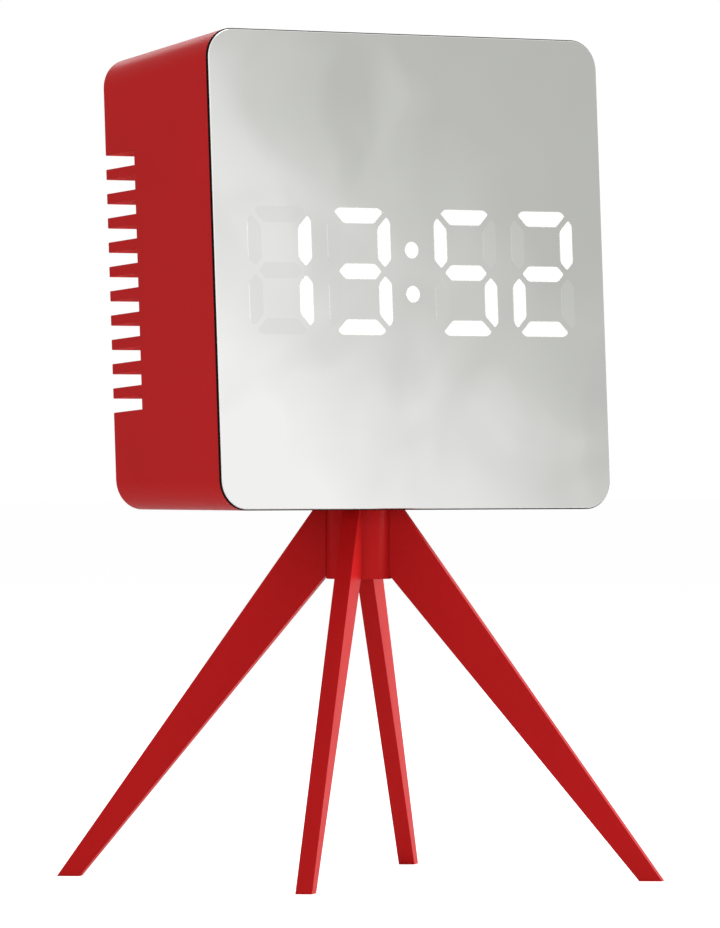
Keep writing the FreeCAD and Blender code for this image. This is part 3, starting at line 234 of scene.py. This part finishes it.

# silvered acrylic, its tone a painted reflection: darker towards one upper corner, with soft clouds in it;
# the larger wisps are listed, each with its middle, half-widths and turn in mm and degrees, and its strength
mirrorLook = {
    "tones": ("f0f0ef", "dedfdc", "c8c9c5", "babbb6", "b6b7b2"),
    "toneStops": (0.1, 0.32, 0.52, 0.72, 0.95),
    "middle": (0, -0.0195, 0.128),
    "slant": (0.707, 0, 0.707),
    "span": 0.1414,
    "cloud": 24,
    "cloudStops": (0.25, 0.75),
    "drift": 0.07,
    "stir": 0.012,
    "reflectionWisps": (
        ((-14, 35), (7, 15), 5, 0.07), ((-15, 24), (4, 7), 0, 0.04), ((-5, 38), (4, 17), 4, -0.035),
        ((-42, 20), (9, 27), -30, -0.08), ((-43, -38), (8, 14), 12, -0.09), ((-9, -31), (9, 11), 20, -0.035),
        ((19, -30), (9, 10), 0, -0.035), ((47, -33), (5, 11), 8, 0.07), ((33, 39), (15, 12), 30, 0.05),
        ((-24, -14), (14, 5), -20, 0.04),
    ),
    "wispFade": (0.5, 1.25),
    "haze": 9,
    "rough": (0.02, 0.05),
    "wave": 22,
    "waveRelief": 0.3,
    "waveDepth": 0.00005,
    "milk": "cecfcb",
    "milkShare": 0,
}


# the sheet's tone with its painted reflection: a slope from corner to corner, with the clouds and wisps added
def silverWithPaintedReflection(tree, place, look):
    centred = addNode(tree, "Mapping", {"Location": -Vector(look["middle"])}, {"Vector": place}).outputs[0]
    along = addNode(tree, "VectorMath", {"operation": "DOT_PRODUCT", 1: look["slant"]}, {0: centred})
    slope = addNode(tree, "MapRange", {"From Min": -look["span"] / 2, "From Max": look["span"] / 2},
                    {"Value": along.outputs["Value"]})
    clouds = addNode(tree, "TexNoise", {"Scale": perMetre(look["cloud"]), "Detail": 1.5, "Distortion": 0.5},
                     {"Vector": centred})
    drift = addNode(tree, "MapRange", {"From Min": look["cloudStops"][0], "From Max": look["cloudStops"][1],
                                       "To Min": -look["drift"], "To Max": look["drift"]},
                    {"Value": clouds.outputs[0]})
    depth = addNode(tree, "Math", {"operation": "ADD"}, {0: slope.outputs[0], 1: drift.outputs[0]}).outputs[0]
    # the clouds' colour, about 0.5 in each channel, stirs the wisps' outlines; the shift takes that 0.5 back
    stirred = addNode(tree, "VectorMath", {"operation": "MULTIPLY_ADD", 1: (look["stir"],) * 3},
                      {0: clouds.outputs[1], 2: centred}).outputs[0]
    shift = look["stir"] / 2
    for (across, up), (wide, tall), turn, strength in look["reflectionWisps"]:
        spot = addNode(tree, "Mapping", {
            "vector_type": "TEXTURE", "Location": (across / 1000 + shift, shift, up / 1000 + shift),
            "Rotation": (0, radians(turn), 0), "Scale": (wide / 1000, 1, tall / 1000)}, {"Vector": stirred})
        away = addNode(tree, "VectorMath", {"operation": "LENGTH"}, {0: spot.outputs[0]})
        reflectionWisp = addNode(tree, "MapRange", {"interpolation_type": "SMOOTHSTEP",
                                          "From Min": look["wispFade"][0], "From Max": look["wispFade"][1],
                                          "To Min": strength, "To Max": 0}, {"Value": away.outputs["Value"]})
        depth = addNode(tree, "Math", {"operation": "ADD"}, {0: depth, 1: reflectionWisp.outputs[0]}).outputs[0]
    silver = addNode(tree, "ValToRGB", {}, {"Fac": depth})
    setStops(silver.color_ramp, look["toneStops"], look["tones"])
    return silver.outputs[0]


def silveredAcrylic(name, look):
    material, tree, place = newFinish(name)
    haze = addNode(tree, "TexNoise", {"Scale": perMetre(look["haze"]), "Detail": 4}, {"Vector": place})
    gloss = addNode(tree, "MapRange", {"To Min": look["rough"][0], "To Max": look["rough"][1]},
                    {"Value": haze.outputs[0]})
    wave = addNode(tree, "TexNoise", {"Scale": perMetre(look["wave"]), "Detail": 0}, {"Vector": place})
    bump = addNode(tree, "Bump", {"Strength": look["waveRelief"], "Distance": look["waveDepth"]},
                   {"Height": wave.outputs[0]})
    tone = addNode(tree, "Mix", {"data_type": "RGBA", 0: look["milkShare"], 7: colour(look["milk"])},
                   {6: silverWithPaintedReflection(tree, place, look)})
    surface(tree, {"Metallic": 1}, {"Base Color": tone.outputs[2],
                                    "Roughness": gloss.outputs[0], "Normal": bump.outputs[0]})
    return material


# the mirror's finish, its tone a painted reflection
silvered = silveredAcrylic("silveredAcrylic", mirrorLook)

# unlit milky acrylic behind the half-silvered sheet: its even grey shows through the silver and its painted
# reflection as a ghost
unlitAcrylic = silveredAcrylic("unlitMilkyAcrylic", {**mirrorLook, "milkShare": 0.28, "rough": (0.05, 0.08)})

# the sheet's cut and polished edge: acrylic with the silver behind it, with a painted highlight that is
# brighter seen face on
edgeLook = {"clear": "f2f2f0", "deep": "b0b1ad", "silver": 0.8, "saw": 0.2, "rough": (0.08, 0.2)}


def polishedEdge(look):
    material, tree, place = newFinish("acrylicEdgePaintedHighlight")
    turned = addNode(tree, "LayerWeight", {"Blend": 0.5}).outputs["Facing"]
    marks = addNode(tree, "TexNoise", {"Scale": perMetre(look["saw"]), "Detail": 2}, {"Vector": place})
    gloss = addNode(tree, "MapRange", {"To Min": look["rough"][0], "To Max": look["rough"][1]},
                    {"Value": marks.outputs[0]})
    # painted highlight: near white face on, deeper as the edge turns away from the view
    tone = addNode(tree, "Mix", {"data_type": "RGBA", 6: colour(look["clear"]), 7: colour(look["deep"])},
                   {0: turned})
    surface(tree, {"Metallic": look["silver"]},
            {"Base Color": tone.outputs[2], "Roughness": gloss.outputs[0]})
    return material


edgeAcrylic = polishedEdge(edgeLook)

# milky acrylic over white LEDs: even white that fades into the silver and its painted reflection at its rim,
# as light spreads in the sheet
litLook = {"white": "fffffd", "warm": "fffff8", "milk": "808080", "patch": 2.5, "glow": 0.84,
           "rough": 0.2, "ior": 1.49, "specular": 0.2}


def litMilkyAcrylic(look):
    material, tree, place = newFinish("litMilkyAcrylic")
    glow = addNode(tree, "Attribute", {"attribute_name": "glow"}).outputs["Fac"]
    spread = addNode(tree, "TexNoise", {"Scale": perMetre(look["patch"]), "Detail": 1}, {"Vector": place})
    tint = addNode(tree, "Mix", {"data_type": "RGBA", 6: colour(look["white"]), 7: colour(look["warm"])},
                   {0: spread.outputs[0]})
    light = addNode(tree, "Mix", {"data_type": "RGBA", 6: colour("000000")}, {0: glow, 7: tint.outputs[2]})
    body = addNode(tree, "Mix", {"data_type": "RGBA", 7: colour(look["milk"])},
                   {0: glow, 6: silverWithPaintedReflection(tree, place, mirrorLook)})
    metal = addNode(tree, "Math", {"operation": "SUBTRACT", 0: 1}, {1: glow})
    surface(tree, {"Roughness": look["rough"], "IOR": look["ior"], "Specular IOR Level": look["specular"],
                   "Emission Strength": look["glow"]},
            {"Base Color": body.outputs[2], "Metallic": metal.outputs[0], "Emission Color": light.outputs[2]})
    return material


litAcrylic = litMilkyAcrylic(litLook)


# clear resin over a coloured filling, mottled at its own scale
def filledResin(name, look):
    material, tree, place = newFinish(name)
    grains = addNode(tree, "TexVoronoi", {"Scale": perMetre(look["grain"])}, {"Vector": place})
    tone = addNode(tree, "Mix", {"data_type": "RGBA", 6: colour(look["deep"]), 7: colour(look["light"])},
                   {0: grains.outputs["Distance"]})
    surface(tree, {"Roughness": look["rough"], "IOR": look["ior"]}, {"Base Color": tone.outputs[2]})
    return material


# phosphor under clear silicone: the LEDs, a pale yellow
ledPhosphor = filledResin("ledPhosphor", {
    "deep": "d9c56c", "light": "eadf9a", "grain": 0.1, "rough": 0.15, "ior": 1.41})
print("mirror and light finishes made")


markDepth = 0.00002  # a worked metal's marks, in metres


# a worked metal: fine marks drawn out along one axis, over small changes of tone
def workedMetal(name, look):
    material, tree, place = newFinish(name)
    drawn = addNode(tree, "Mapping", {"Scale": look["stretch"]}, {"Vector": place})
    marks = addNode(tree, "TexNoise", {"Scale": perMetre(look["mark"]), "Detail": 3},
                    {"Vector": drawn.outputs[0]})
    tone = addNode(tree, "ValToRGB", {}, {"Fac": marks.outputs[0]})
    setStops(tone.color_ramp, shadeStops, (look["deep"], look["light"]))
    gloss = addNode(tree, "MapRange", {"To Min": look["rough"][0], "To Max": look["rough"][1]},
                    {"Value": marks.outputs[0]})
    bump = addNode(tree, "Bump", {"Strength": look["relief"], "Distance": markDepth},
                   {"Height": marks.outputs[0]})
    surface(tree, {"Metallic": 1},
            {"Base Color": tone.outputs[0], "Roughness": gloss.outputs[0], "Normal": bump.outputs[0]})
    return material


# zinc-plated steel: the screws, grey with a faint crystal mottle
zincSteel = workedMetal("zincPlatedSteel", {
    "deep": "a3a6a8", "light": "c5c8ca", "mark": 0.5, "stretch": (1, 1, 1), "rough": (0.28, 0.42),
    "relief": 0.15})

# nickel-plated steel: the inlet's shell, the slide switch, the cell and its contacts, bright and a bit warm
nickelSteel = workedMetal("nickelPlatedSteel", {
    "deep": "bdb8ae", "light": "d5d1c8", "mark": 0.25, "stretch": (1, 0.15, 1), "rough": (0.16, 0.28),
    "relief": 0.1})

# drawn aluminium: the capacitor's and the crystal's cans, marked along the draw
aluminiumCan = workedMetal("drawnAluminium", {
    "deep": "c4c6c9", "light": "dcdee0", "mark": 0.2, "stretch": (1, 0.1, 1), "rough": (0.25, 0.4),
    "relief": 0.2})

# glass-fibre board under green solder mask: the weave shows as a check through the gloss, drawn coarser
# than the real one so that it shows
boardLook = {"deep": "0b4a24", "light": "146034", "weave": 5.65, "relief": 0.2, "depth": 0.00003,
             "rough": 0.3, "ior": 1.5}


def solderMask(look):
    material, tree, place = newFinish("greenSolderMask")
    pitch = waveTurn * perMetre(look["weave"])
    weft = addNode(tree, "TexWave", {"Scale": pitch, "bands_direction": "X"}, {"Vector": place})
    warp = addNode(tree, "TexWave", {"Scale": pitch, "bands_direction": "Z"}, {"Vector": place})
    cloth = addNode(tree, "Math", {"operation": "MULTIPLY"}, {0: weft.outputs["Fac"], 1: warp.outputs["Fac"]})
    tone = addNode(tree, "Mix", {"data_type": "RGBA", 6: colour(look["deep"]), 7: colour(look["light"])},
                   {0: cloth.outputs[0]})
    bump = addNode(tree, "Bump", {"Strength": look["relief"], "Distance": look["depth"]},
                   {"Height": cloth.outputs[0]})
    surface(tree, {"Roughness": look["rough"], "IOR": look["ior"]},
            {"Base Color": tone.outputs[2], "Normal": bump.outputs[0]})
    return material


# flat flexible cable: grey PVC with a broad low swell along it, over its conductors
ribbonLook = {"deep": "868a90", "light": "a4a8ae", "rib": 6.28, "relief": 0.5, "depth": 0.0001, "rough": 0.5}


def ribbonPvc(look):
    material, tree, place = newFinish("greyRibbonPvc")
    ribs = addNode(tree, "TexWave", {"Scale": waveTurn * perMetre(look["rib"]), "bands_direction": "X"},
                   {"Vector": place})
    tone = addNode(tree, "Mix", {"data_type": "RGBA", 6: colour(look["deep"]), 7: colour(look["light"])},
                   {0: ribs.outputs["Fac"]})
    bump = addNode(tree, "Bump", {"Strength": look["relief"], "Distance": look["depth"]},
                   {"Height": ribs.outputs["Fac"]})
    surface(tree, {"Roughness": look["rough"]}, {"Base Color": tone.outputs[2], "Normal": bump.outputs[0]})
    return material


finishes = {
    "red_abs": redAbs, "black_abs": blackAbs, "silvered_acrylic": silvered, "adhesive_foam": adhesiveFoam,
    "white_diffuser": litAcrylic, "grey_diffuser": unlitAcrylic, "reflector_plastic": reflectorPlastic,
    "led_resin": ledPhosphor, "circuit_board": solderMask(boardLook), "zinc_steel": zincSteel,
    "nickel_steel": nickelSteel, "epoxy_black": epoxyBlack, "aluminium_can": aluminiumCan,
    "ribbon_grey": ribbonPvc(ribbonLook), "ivory_nylon": ivoryNylon,
}
finishOf = {name: finishes[slotOf[name]] for name in nodes}
finishOf["front_bezel"] = bezelAbs
for name, part in nodes.items():
    part.data.materials.clear()
    part.data.materials.append(finishOf[name])
print("every part has its finish")


# how a part is made whole and its edges rounded: what counts as one point, one plane and an edge, in metres
# and degrees, the most that a rounding takes of a short edge, and the turn that still shades sharp
rounding = {"samePoint": 0.000002, "samePlane": 0.3, "edge": 30, "share": 0.35, "steps": 2, "shadesSharp": 50}
upright = 0.000001  # an upright edge's ends lie this near to one another in plan
frontEdge = 0.0009  # the case's front edge lies less than this behind the mirror's face


# the CAD mesh's loose triangles as whole faces
def wholeFaces(node):
    mesh = bmesh.new()
    mesh.from_mesh(nodes[node].data)
    bmesh.ops.remove_doubles(mesh, verts=mesh.verts, dist=rounding["samePoint"])
    bmesh.ops.dissolve_limit(mesh, angle_limit=radians(rounding["samePlane"]), verts=mesh.verts,
                             edges=mesh.edges)
    return mesh


def isUpright(edge):
    return (edge.verts[0].co - edge.verts[1].co).xy.length < upright


def isCaseFront(edge):
    return all((intoCase @ end.co).y < frontEdge for end in edge.verts)


# edges that stay sharp: the mouths of the hub's keyways, and the case's front edge, tight to the bezel
staySharp = {"hub": isUpright, "case_shell": isCaseFront}


# groups of edges that turn more sharply than an angle and hang together, in the mesh's own order
def sharpGroups(mesh, angle, stays):
    sharp = [edge for edge in mesh.edges if edge.is_manifold and edge.calc_face_angle(0) > angle]
    waiting = dict.fromkeys(edge for edge in sharp if not (stays and stays(edge)))
    groups = []
    while waiting:
        group = []
        front = [waiting.popitem()[0]]
        while front:
            edge = front.pop()
            group.append(edge)
            for near in [other for end in edge.verts for other in end.link_edges]:
                if near in waiting:
                    del waiting[near]
                    front.append(near)
        groups.append(group)
    return groups


# the bezel's rim round the mirror, thinned from inside and set back, so the sheet stands a little proud
# of it; "reach" is how far a point may lie from where it is looked for
rimLook = {"was": 0.0003, "becomes": 0.0002, "depth": 0.0009, "setBack": 0.0003, "front": 0.00002,
           "reach": 0.00005}


def thinRim(mesh, look):
    straight = caseSizes["front"] / 2 - caseSizes["corner"]
    for end in mesh.verts:
        spot = intoCase @ end.co
        fromMiddle = Vector((spot.x, 0, spot.z - caseSizes["front"] / 2))
        outward = Vector([max(abs(c) - straight, 0) * (1 if c > 0 else -1) for c in fromMiddle])
        inset = caseSizes["corner"] - outward.length
        atFront = spot.y < look["front"]
        if spot.y < look["depth"] and abs(inset - look["was"]) < look["reach"]:
            spot += outward.normalized() * (look["was"] - look["becomes"])
        if atFront:
            spot.y += look["setBack"]
        end.co = caseFrame @ spot


# a new piece that stands for a part; the CAD mesh's own normals no longer fit it
def newPiece(mesh, name, finish, body, node):
    data = bpy.data.meshes.new(name)
    mesh.to_mesh(data)
    mesh.free()
    if "custom_normal" in data.attributes:
        data.attributes.remove(data.attributes["custom_normal"])
    data.materials.append(finish)
    piece = bpy.data.objects.new(name, data)
    bpy.context.scene.collection.objects.link(piece)
    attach(piece, body)
    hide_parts(node)
    return piece


# a part again with the edges rounded that its mould or tool would leave round
def roundedPart(node, name, width):
    mesh = wholeFaces(node)
    if node == "front_bezel":
        thinRim(mesh, rimLook)
    for group in sharpGroups(mesh, radians(rounding["edge"]), staySharp.get(node)):
        narrowest = min(edge.calc_length() for edge in group)
        bmesh.ops.bevel(mesh, geom=group, offset=min(width, narrowest * rounding["share"]),
                        offset_type="OFFSET", segments=rounding["steps"], profile=0.5, affect="EDGES",
                        clamp_overlap=True, material=-1)
    piece = newPiece(mesh, name, finishOf[node], bodyOf[node], node)
    piece.data.shade_smooth()
    piece.data.set_sharp_from_angle(angle=radians(rounding["shadesSharp"]))
    even = piece.modifiers.new("evenFaces", "WEIGHTED_NORMAL")
    even.keep_sharp = True
    return piece


# edge radii in metres, by part
edgeRadii = {
    "case_shell": ("caseMoulding", 0.00025),
    "front_bezel": ("bezelTray", 0.00008),
    "hub": ("standHub", 0.00025),
    "leg_front_left": ("frontLeftLeg", 0.0003),
    "leg_front_right": ("frontRightLeg", 0.0003),
    "leg_rear_left": ("rearLeftLeg", 0.0003),
    "leg_rear_right": ("rearRightLeg", 0.0003),
    "snooze_bar": ("snoozeKey", 0.0004),
    "alarm_knob": ("slideKnob", 0.00012),
    "cell_drawer": ("cellDrawer", 0.00015),
    "case_screws": ("caseScrewHeads", 0.0001),
    "hub_screw": ("standScrew", 0.00015),
    "usb_inlet": ("inletShell", 0.00005),
}
keyCount = 5
for index in range(1, keyCount + 1):
    edgeRadii[f"button_{index}"] = (f"key{index}", 0.0003)
for node, (name, width) in edgeRadii.items():
    piece = roundedPart(node, name, width)
    print(name, len(piece.data.polygons), "faces")

# the walls of the slots, in the slots' shade, get the lit copy of the red
slotBand = {"behind": 0.0315, "above": 0.0225, "below": 0.0775, "level": 0.98}
case = bpy.data.objects["caseMoulding"].data
case.materials.append(redAbsLitInSlots)
for face in case.polygons:
    middle = intoCase @ face.center
    inBand = middle.y > slotBand["behind"] and slotBand["above"] < middle.z < slotBand["below"]
    if inBand and abs((intoCase.to_3x3() @ face.normal).z) > slotBand["level"]:
        face.material_index = 1


# mirror: one half-silvered sheet, its corners round and its front edge chamfered
sheetSizes = {"rim": 0.0002, "thickness": 0.0006, "chamfer": 0.00015, "cornerSteps": 24, "shadesSharp": 20}


def mirrorSheet(sizes):
    side = caseSizes["front"] - 2 * sizes["rim"]
    mesh = bmesh.new()
    bmesh.ops.create_grid(mesh, x_segments=1, y_segments=1, size=side / 2)
    bmesh.ops.bevel(mesh, geom=mesh.verts[:], offset=caseSizes["corner"] - sizes["rim"], offset_type="OFFSET",
                    segments=sizes["cornerSteps"], profile=0.5, affect="VERTICES", material=-1)
    bmesh.ops.rotate(mesh, verts=mesh.verts, matrix=Matrix.Rotation(radians(90), 3, "X"))
    bmesh.ops.translate(mesh, verts=mesh.verts, vec=(0, 0, caseSizes["front"] / 2))
    grown = bmesh.ops.extrude_face_region(mesh, geom=mesh.faces[:], use_keep_orig=True)
    rear = [item for item in grown["geom"] if isinstance(item, bmesh.types.BMVert)]
    bmesh.ops.translate(mesh, verts=rear, vec=(0, sizes["thickness"], 0))
    rim = [edge for edge in mesh.edges if all(end.co.y < sizes["thickness"] / 2 for end in edge.verts)]
    bmesh.ops.bevel(mesh, geom=rim, offset=sizes["chamfer"], offset_type="OFFSET", segments=1,
                    profile=0.5, affect="EDGES", material=-1)
    bmesh.ops.recalc_face_normals(mesh, faces=mesh.faces)
    bmesh.ops.transform(mesh, matrix=caseFrame, verts=mesh.verts)
    piece = newPiece(mesh, "mirrorSheet", silvered, "clock", "mirror_panel")
    piece.data.materials.append(edgeAcrylic)
    for face in piece.data.polygons:
        face.material_index = 0 if face.normal.dot(facing) > faceOn else 1
    piece.data.shade_smooth()
    piece.data.set_sharp_from_angle(angle=radians(sizes["shadesSharp"]))


mirrorSheet(sheetSizes)

# digits: each segment's light as it shows on the sheet, its corners softened, its rim fading; a face with
# more than "mostCorners" is one of the colon's round dots
segmentLook = {"round": 0.0005, "roundSteps": 4, "mostCorners": 7, "aside": 0.00027, "rim": 0.00026,
               "proud": 0.00002, "thickness": 0.00006}


def segmentPlates(node, name, finish, look):
    mesh = wholeFaces(node)
    hidden = [face for face in mesh.faces if face.normal.dot(facing) < faceOn]
    bmesh.ops.delete(mesh, geom=hidden, context="FACES")
    corners = [end for face in mesh.faces if len(face.verts) <= look["mostCorners"] for end in face.verts]
    bmesh.ops.translate(mesh, verts=corners, vec=(look["aside"], 0, 0))
    bmesh.ops.bevel(mesh, geom=corners, offset=look["round"], offset_type="OFFSET",
                    segments=look["roundSteps"], profile=0.5, affect="VERTICES", clamp_overlap=True,
                    material=-1)
    bmesh.ops.translate(mesh, verts=mesh.verts, vec=facing * look["proud"])
    glow = mesh.verts.layers.float.new("glow")
    bmesh.ops.inset_individual(mesh, faces=mesh.faces[:], thickness=look["rim"], use_even_offset=True)
    for end in mesh.verts:
        end[glow] = 0 if end.is_boundary else 1
    bmesh.ops.solidify(mesh, geom=mesh.faces[:], thickness=look["thickness"])
    newPiece(mesh, name, finish, "clock", node).data.shade_flat()


segmentPlates("lit_segments", "litDigits", litAcrylic, segmentLook)
segmentPlates("unlit_segments", "unlitDigits", unlitAcrylic, {**segmentLook, "proud": 0.00001})
print("mirror and digits made")


# lamps: a broad key on the right, soft ones on the left, beside the camera, in front, overhead and
# behind, all turned to the clock; sizes in metres, power in watts
lampPlaces = {
    "keyLamp": {"at": (1.3, -0.6, 0.35), "size": 0.9, "power": 27},
    "fillLamp": {"at": (-1.3, -0.1, 0.4), "size": 1.0, "power": 5},
    "cameraLamp": {"at": (-0.9, -1.3, 0.08), "size": 0.7, "power": 5},
    "frontLamp": {"at": (0.1, -1.4, 0.08), "size": 0.7, "power": 4},
    "topLamp": {"at": (0, 0.1, 1.5), "size": 1.2, "power": 4},
    "backLamp": {"at": (0.4, 1.2, 1.0), "size": 0.8, "power": 5},
}
lampTarget = Vector((0, 0, 0.1))
for name, lamp in lampPlaces.items():
    data = bpy.data.lights.new(name, "AREA")
    data.shape = "DISK"
    data.size = lamp["size"]
    data.energy = lamp["power"]
    lampObject = bpy.data.objects.new(name, data)
    lampObject.location = lamp["at"]
    aim = lampTarget - Vector(lamp["at"])
    lampObject.rotation_euler = aim.to_track_quat("-Z", "Y").to_euler()
    bpy.context.scene.collection.objects.link(lampObject)

# world: an even pale studio; the camera and mirror-like surfaces see it plain white
worldLook = {"light": 0.45, "tint": "fbfbff", "seen": "ffffff"}


def studioWorld(look):
    world = bpy.data.worlds.new("studio")
    bpy.context.scene.world = world
    world.use_nodes = True
    tree = world.node_tree
    tree.nodes.clear()
    rays = addNode(tree, "LightPath").outputs
    seen = addNode(tree, "Math", {"operation": "MAXIMUM"},
                   {0: rays["Is Camera Ray"], 1: rays["Is Glossy Ray"]})
    seen = addNode(tree, "Math", {"operation": "MAXIMUM"},
                   {0: seen.outputs[0], 1: rays["Is Transmission Ray"]})
    lit = addNode(tree, "Background", {"Color": colour(look["tint"]), "Strength": look["light"]})
    plain = addNode(tree, "Background", {"Color": colour(look["seen"]), "Strength": 1})
    both = addNode(tree, "MixShader", {}, {0: seen.outputs[0], 1: lit.outputs[0], 2: plain.outputs[0]})
    addNode(tree, "OutputWorld", {}, {"Surface": both.outputs[0]})


studioWorld(worldLook)

# floor: matt white paper; what the camera sees is lifted to white, and the shadow stays
floorLook = {"half": 12, "cells": 8, "paper": "f0f0ee", "fibre": "f6f6f4", "fibreSize": 3,
             "seen": "ffffff", "lift": 0.6}


def mattPaper(look):
    material, tree, place = newFinish("mattPaper")
    fibres = addNode(tree, "TexNoise", {"Scale": perMetre(look["fibreSize"]), "Detail": 2}, {"Vector": place})
    paper = addNode(tree, "Mix", {"data_type": "RGBA", 6: colour(look["paper"]), 7: colour(look["fibre"])},
                    {0: fibres.outputs[0]})
    sheet = addNode(tree, "BsdfDiffuse", {}, {"Color": paper.outputs[2]})
    rays = addNode(tree, "LightPath").outputs
    lift = addNode(tree, "Math", {"operation": "MULTIPLY", 1: look["lift"]}, {0: rays["Is Camera Ray"]})
    glow = addNode(tree, "Emission", {"Color": colour(look["seen"])}, {"Strength": lift.outputs[0]})
    both = addNode(tree, "AddShader", {}, {0: sheet.outputs[0], 1: glow.outputs[0]})
    addNode(tree, "OutputMaterial", {}, {"Surface": both.outputs[0]})
    return material


def paperFloor(look):
    mesh = bmesh.new()
    bmesh.ops.create_grid(mesh, x_segments=look["cells"], y_segments=look["cells"], size=look["half"])
    data = bpy.data.meshes.new("paperFloor")
    mesh.to_mesh(data)
    mesh.free()
    data.materials.append(mattPaper(look))
    floor = bpy.data.objects.new("paperFloor", data)
    bpy.context.scene.collection.objects.link(floor)


paperFloor(floorLook)
print("studio set")
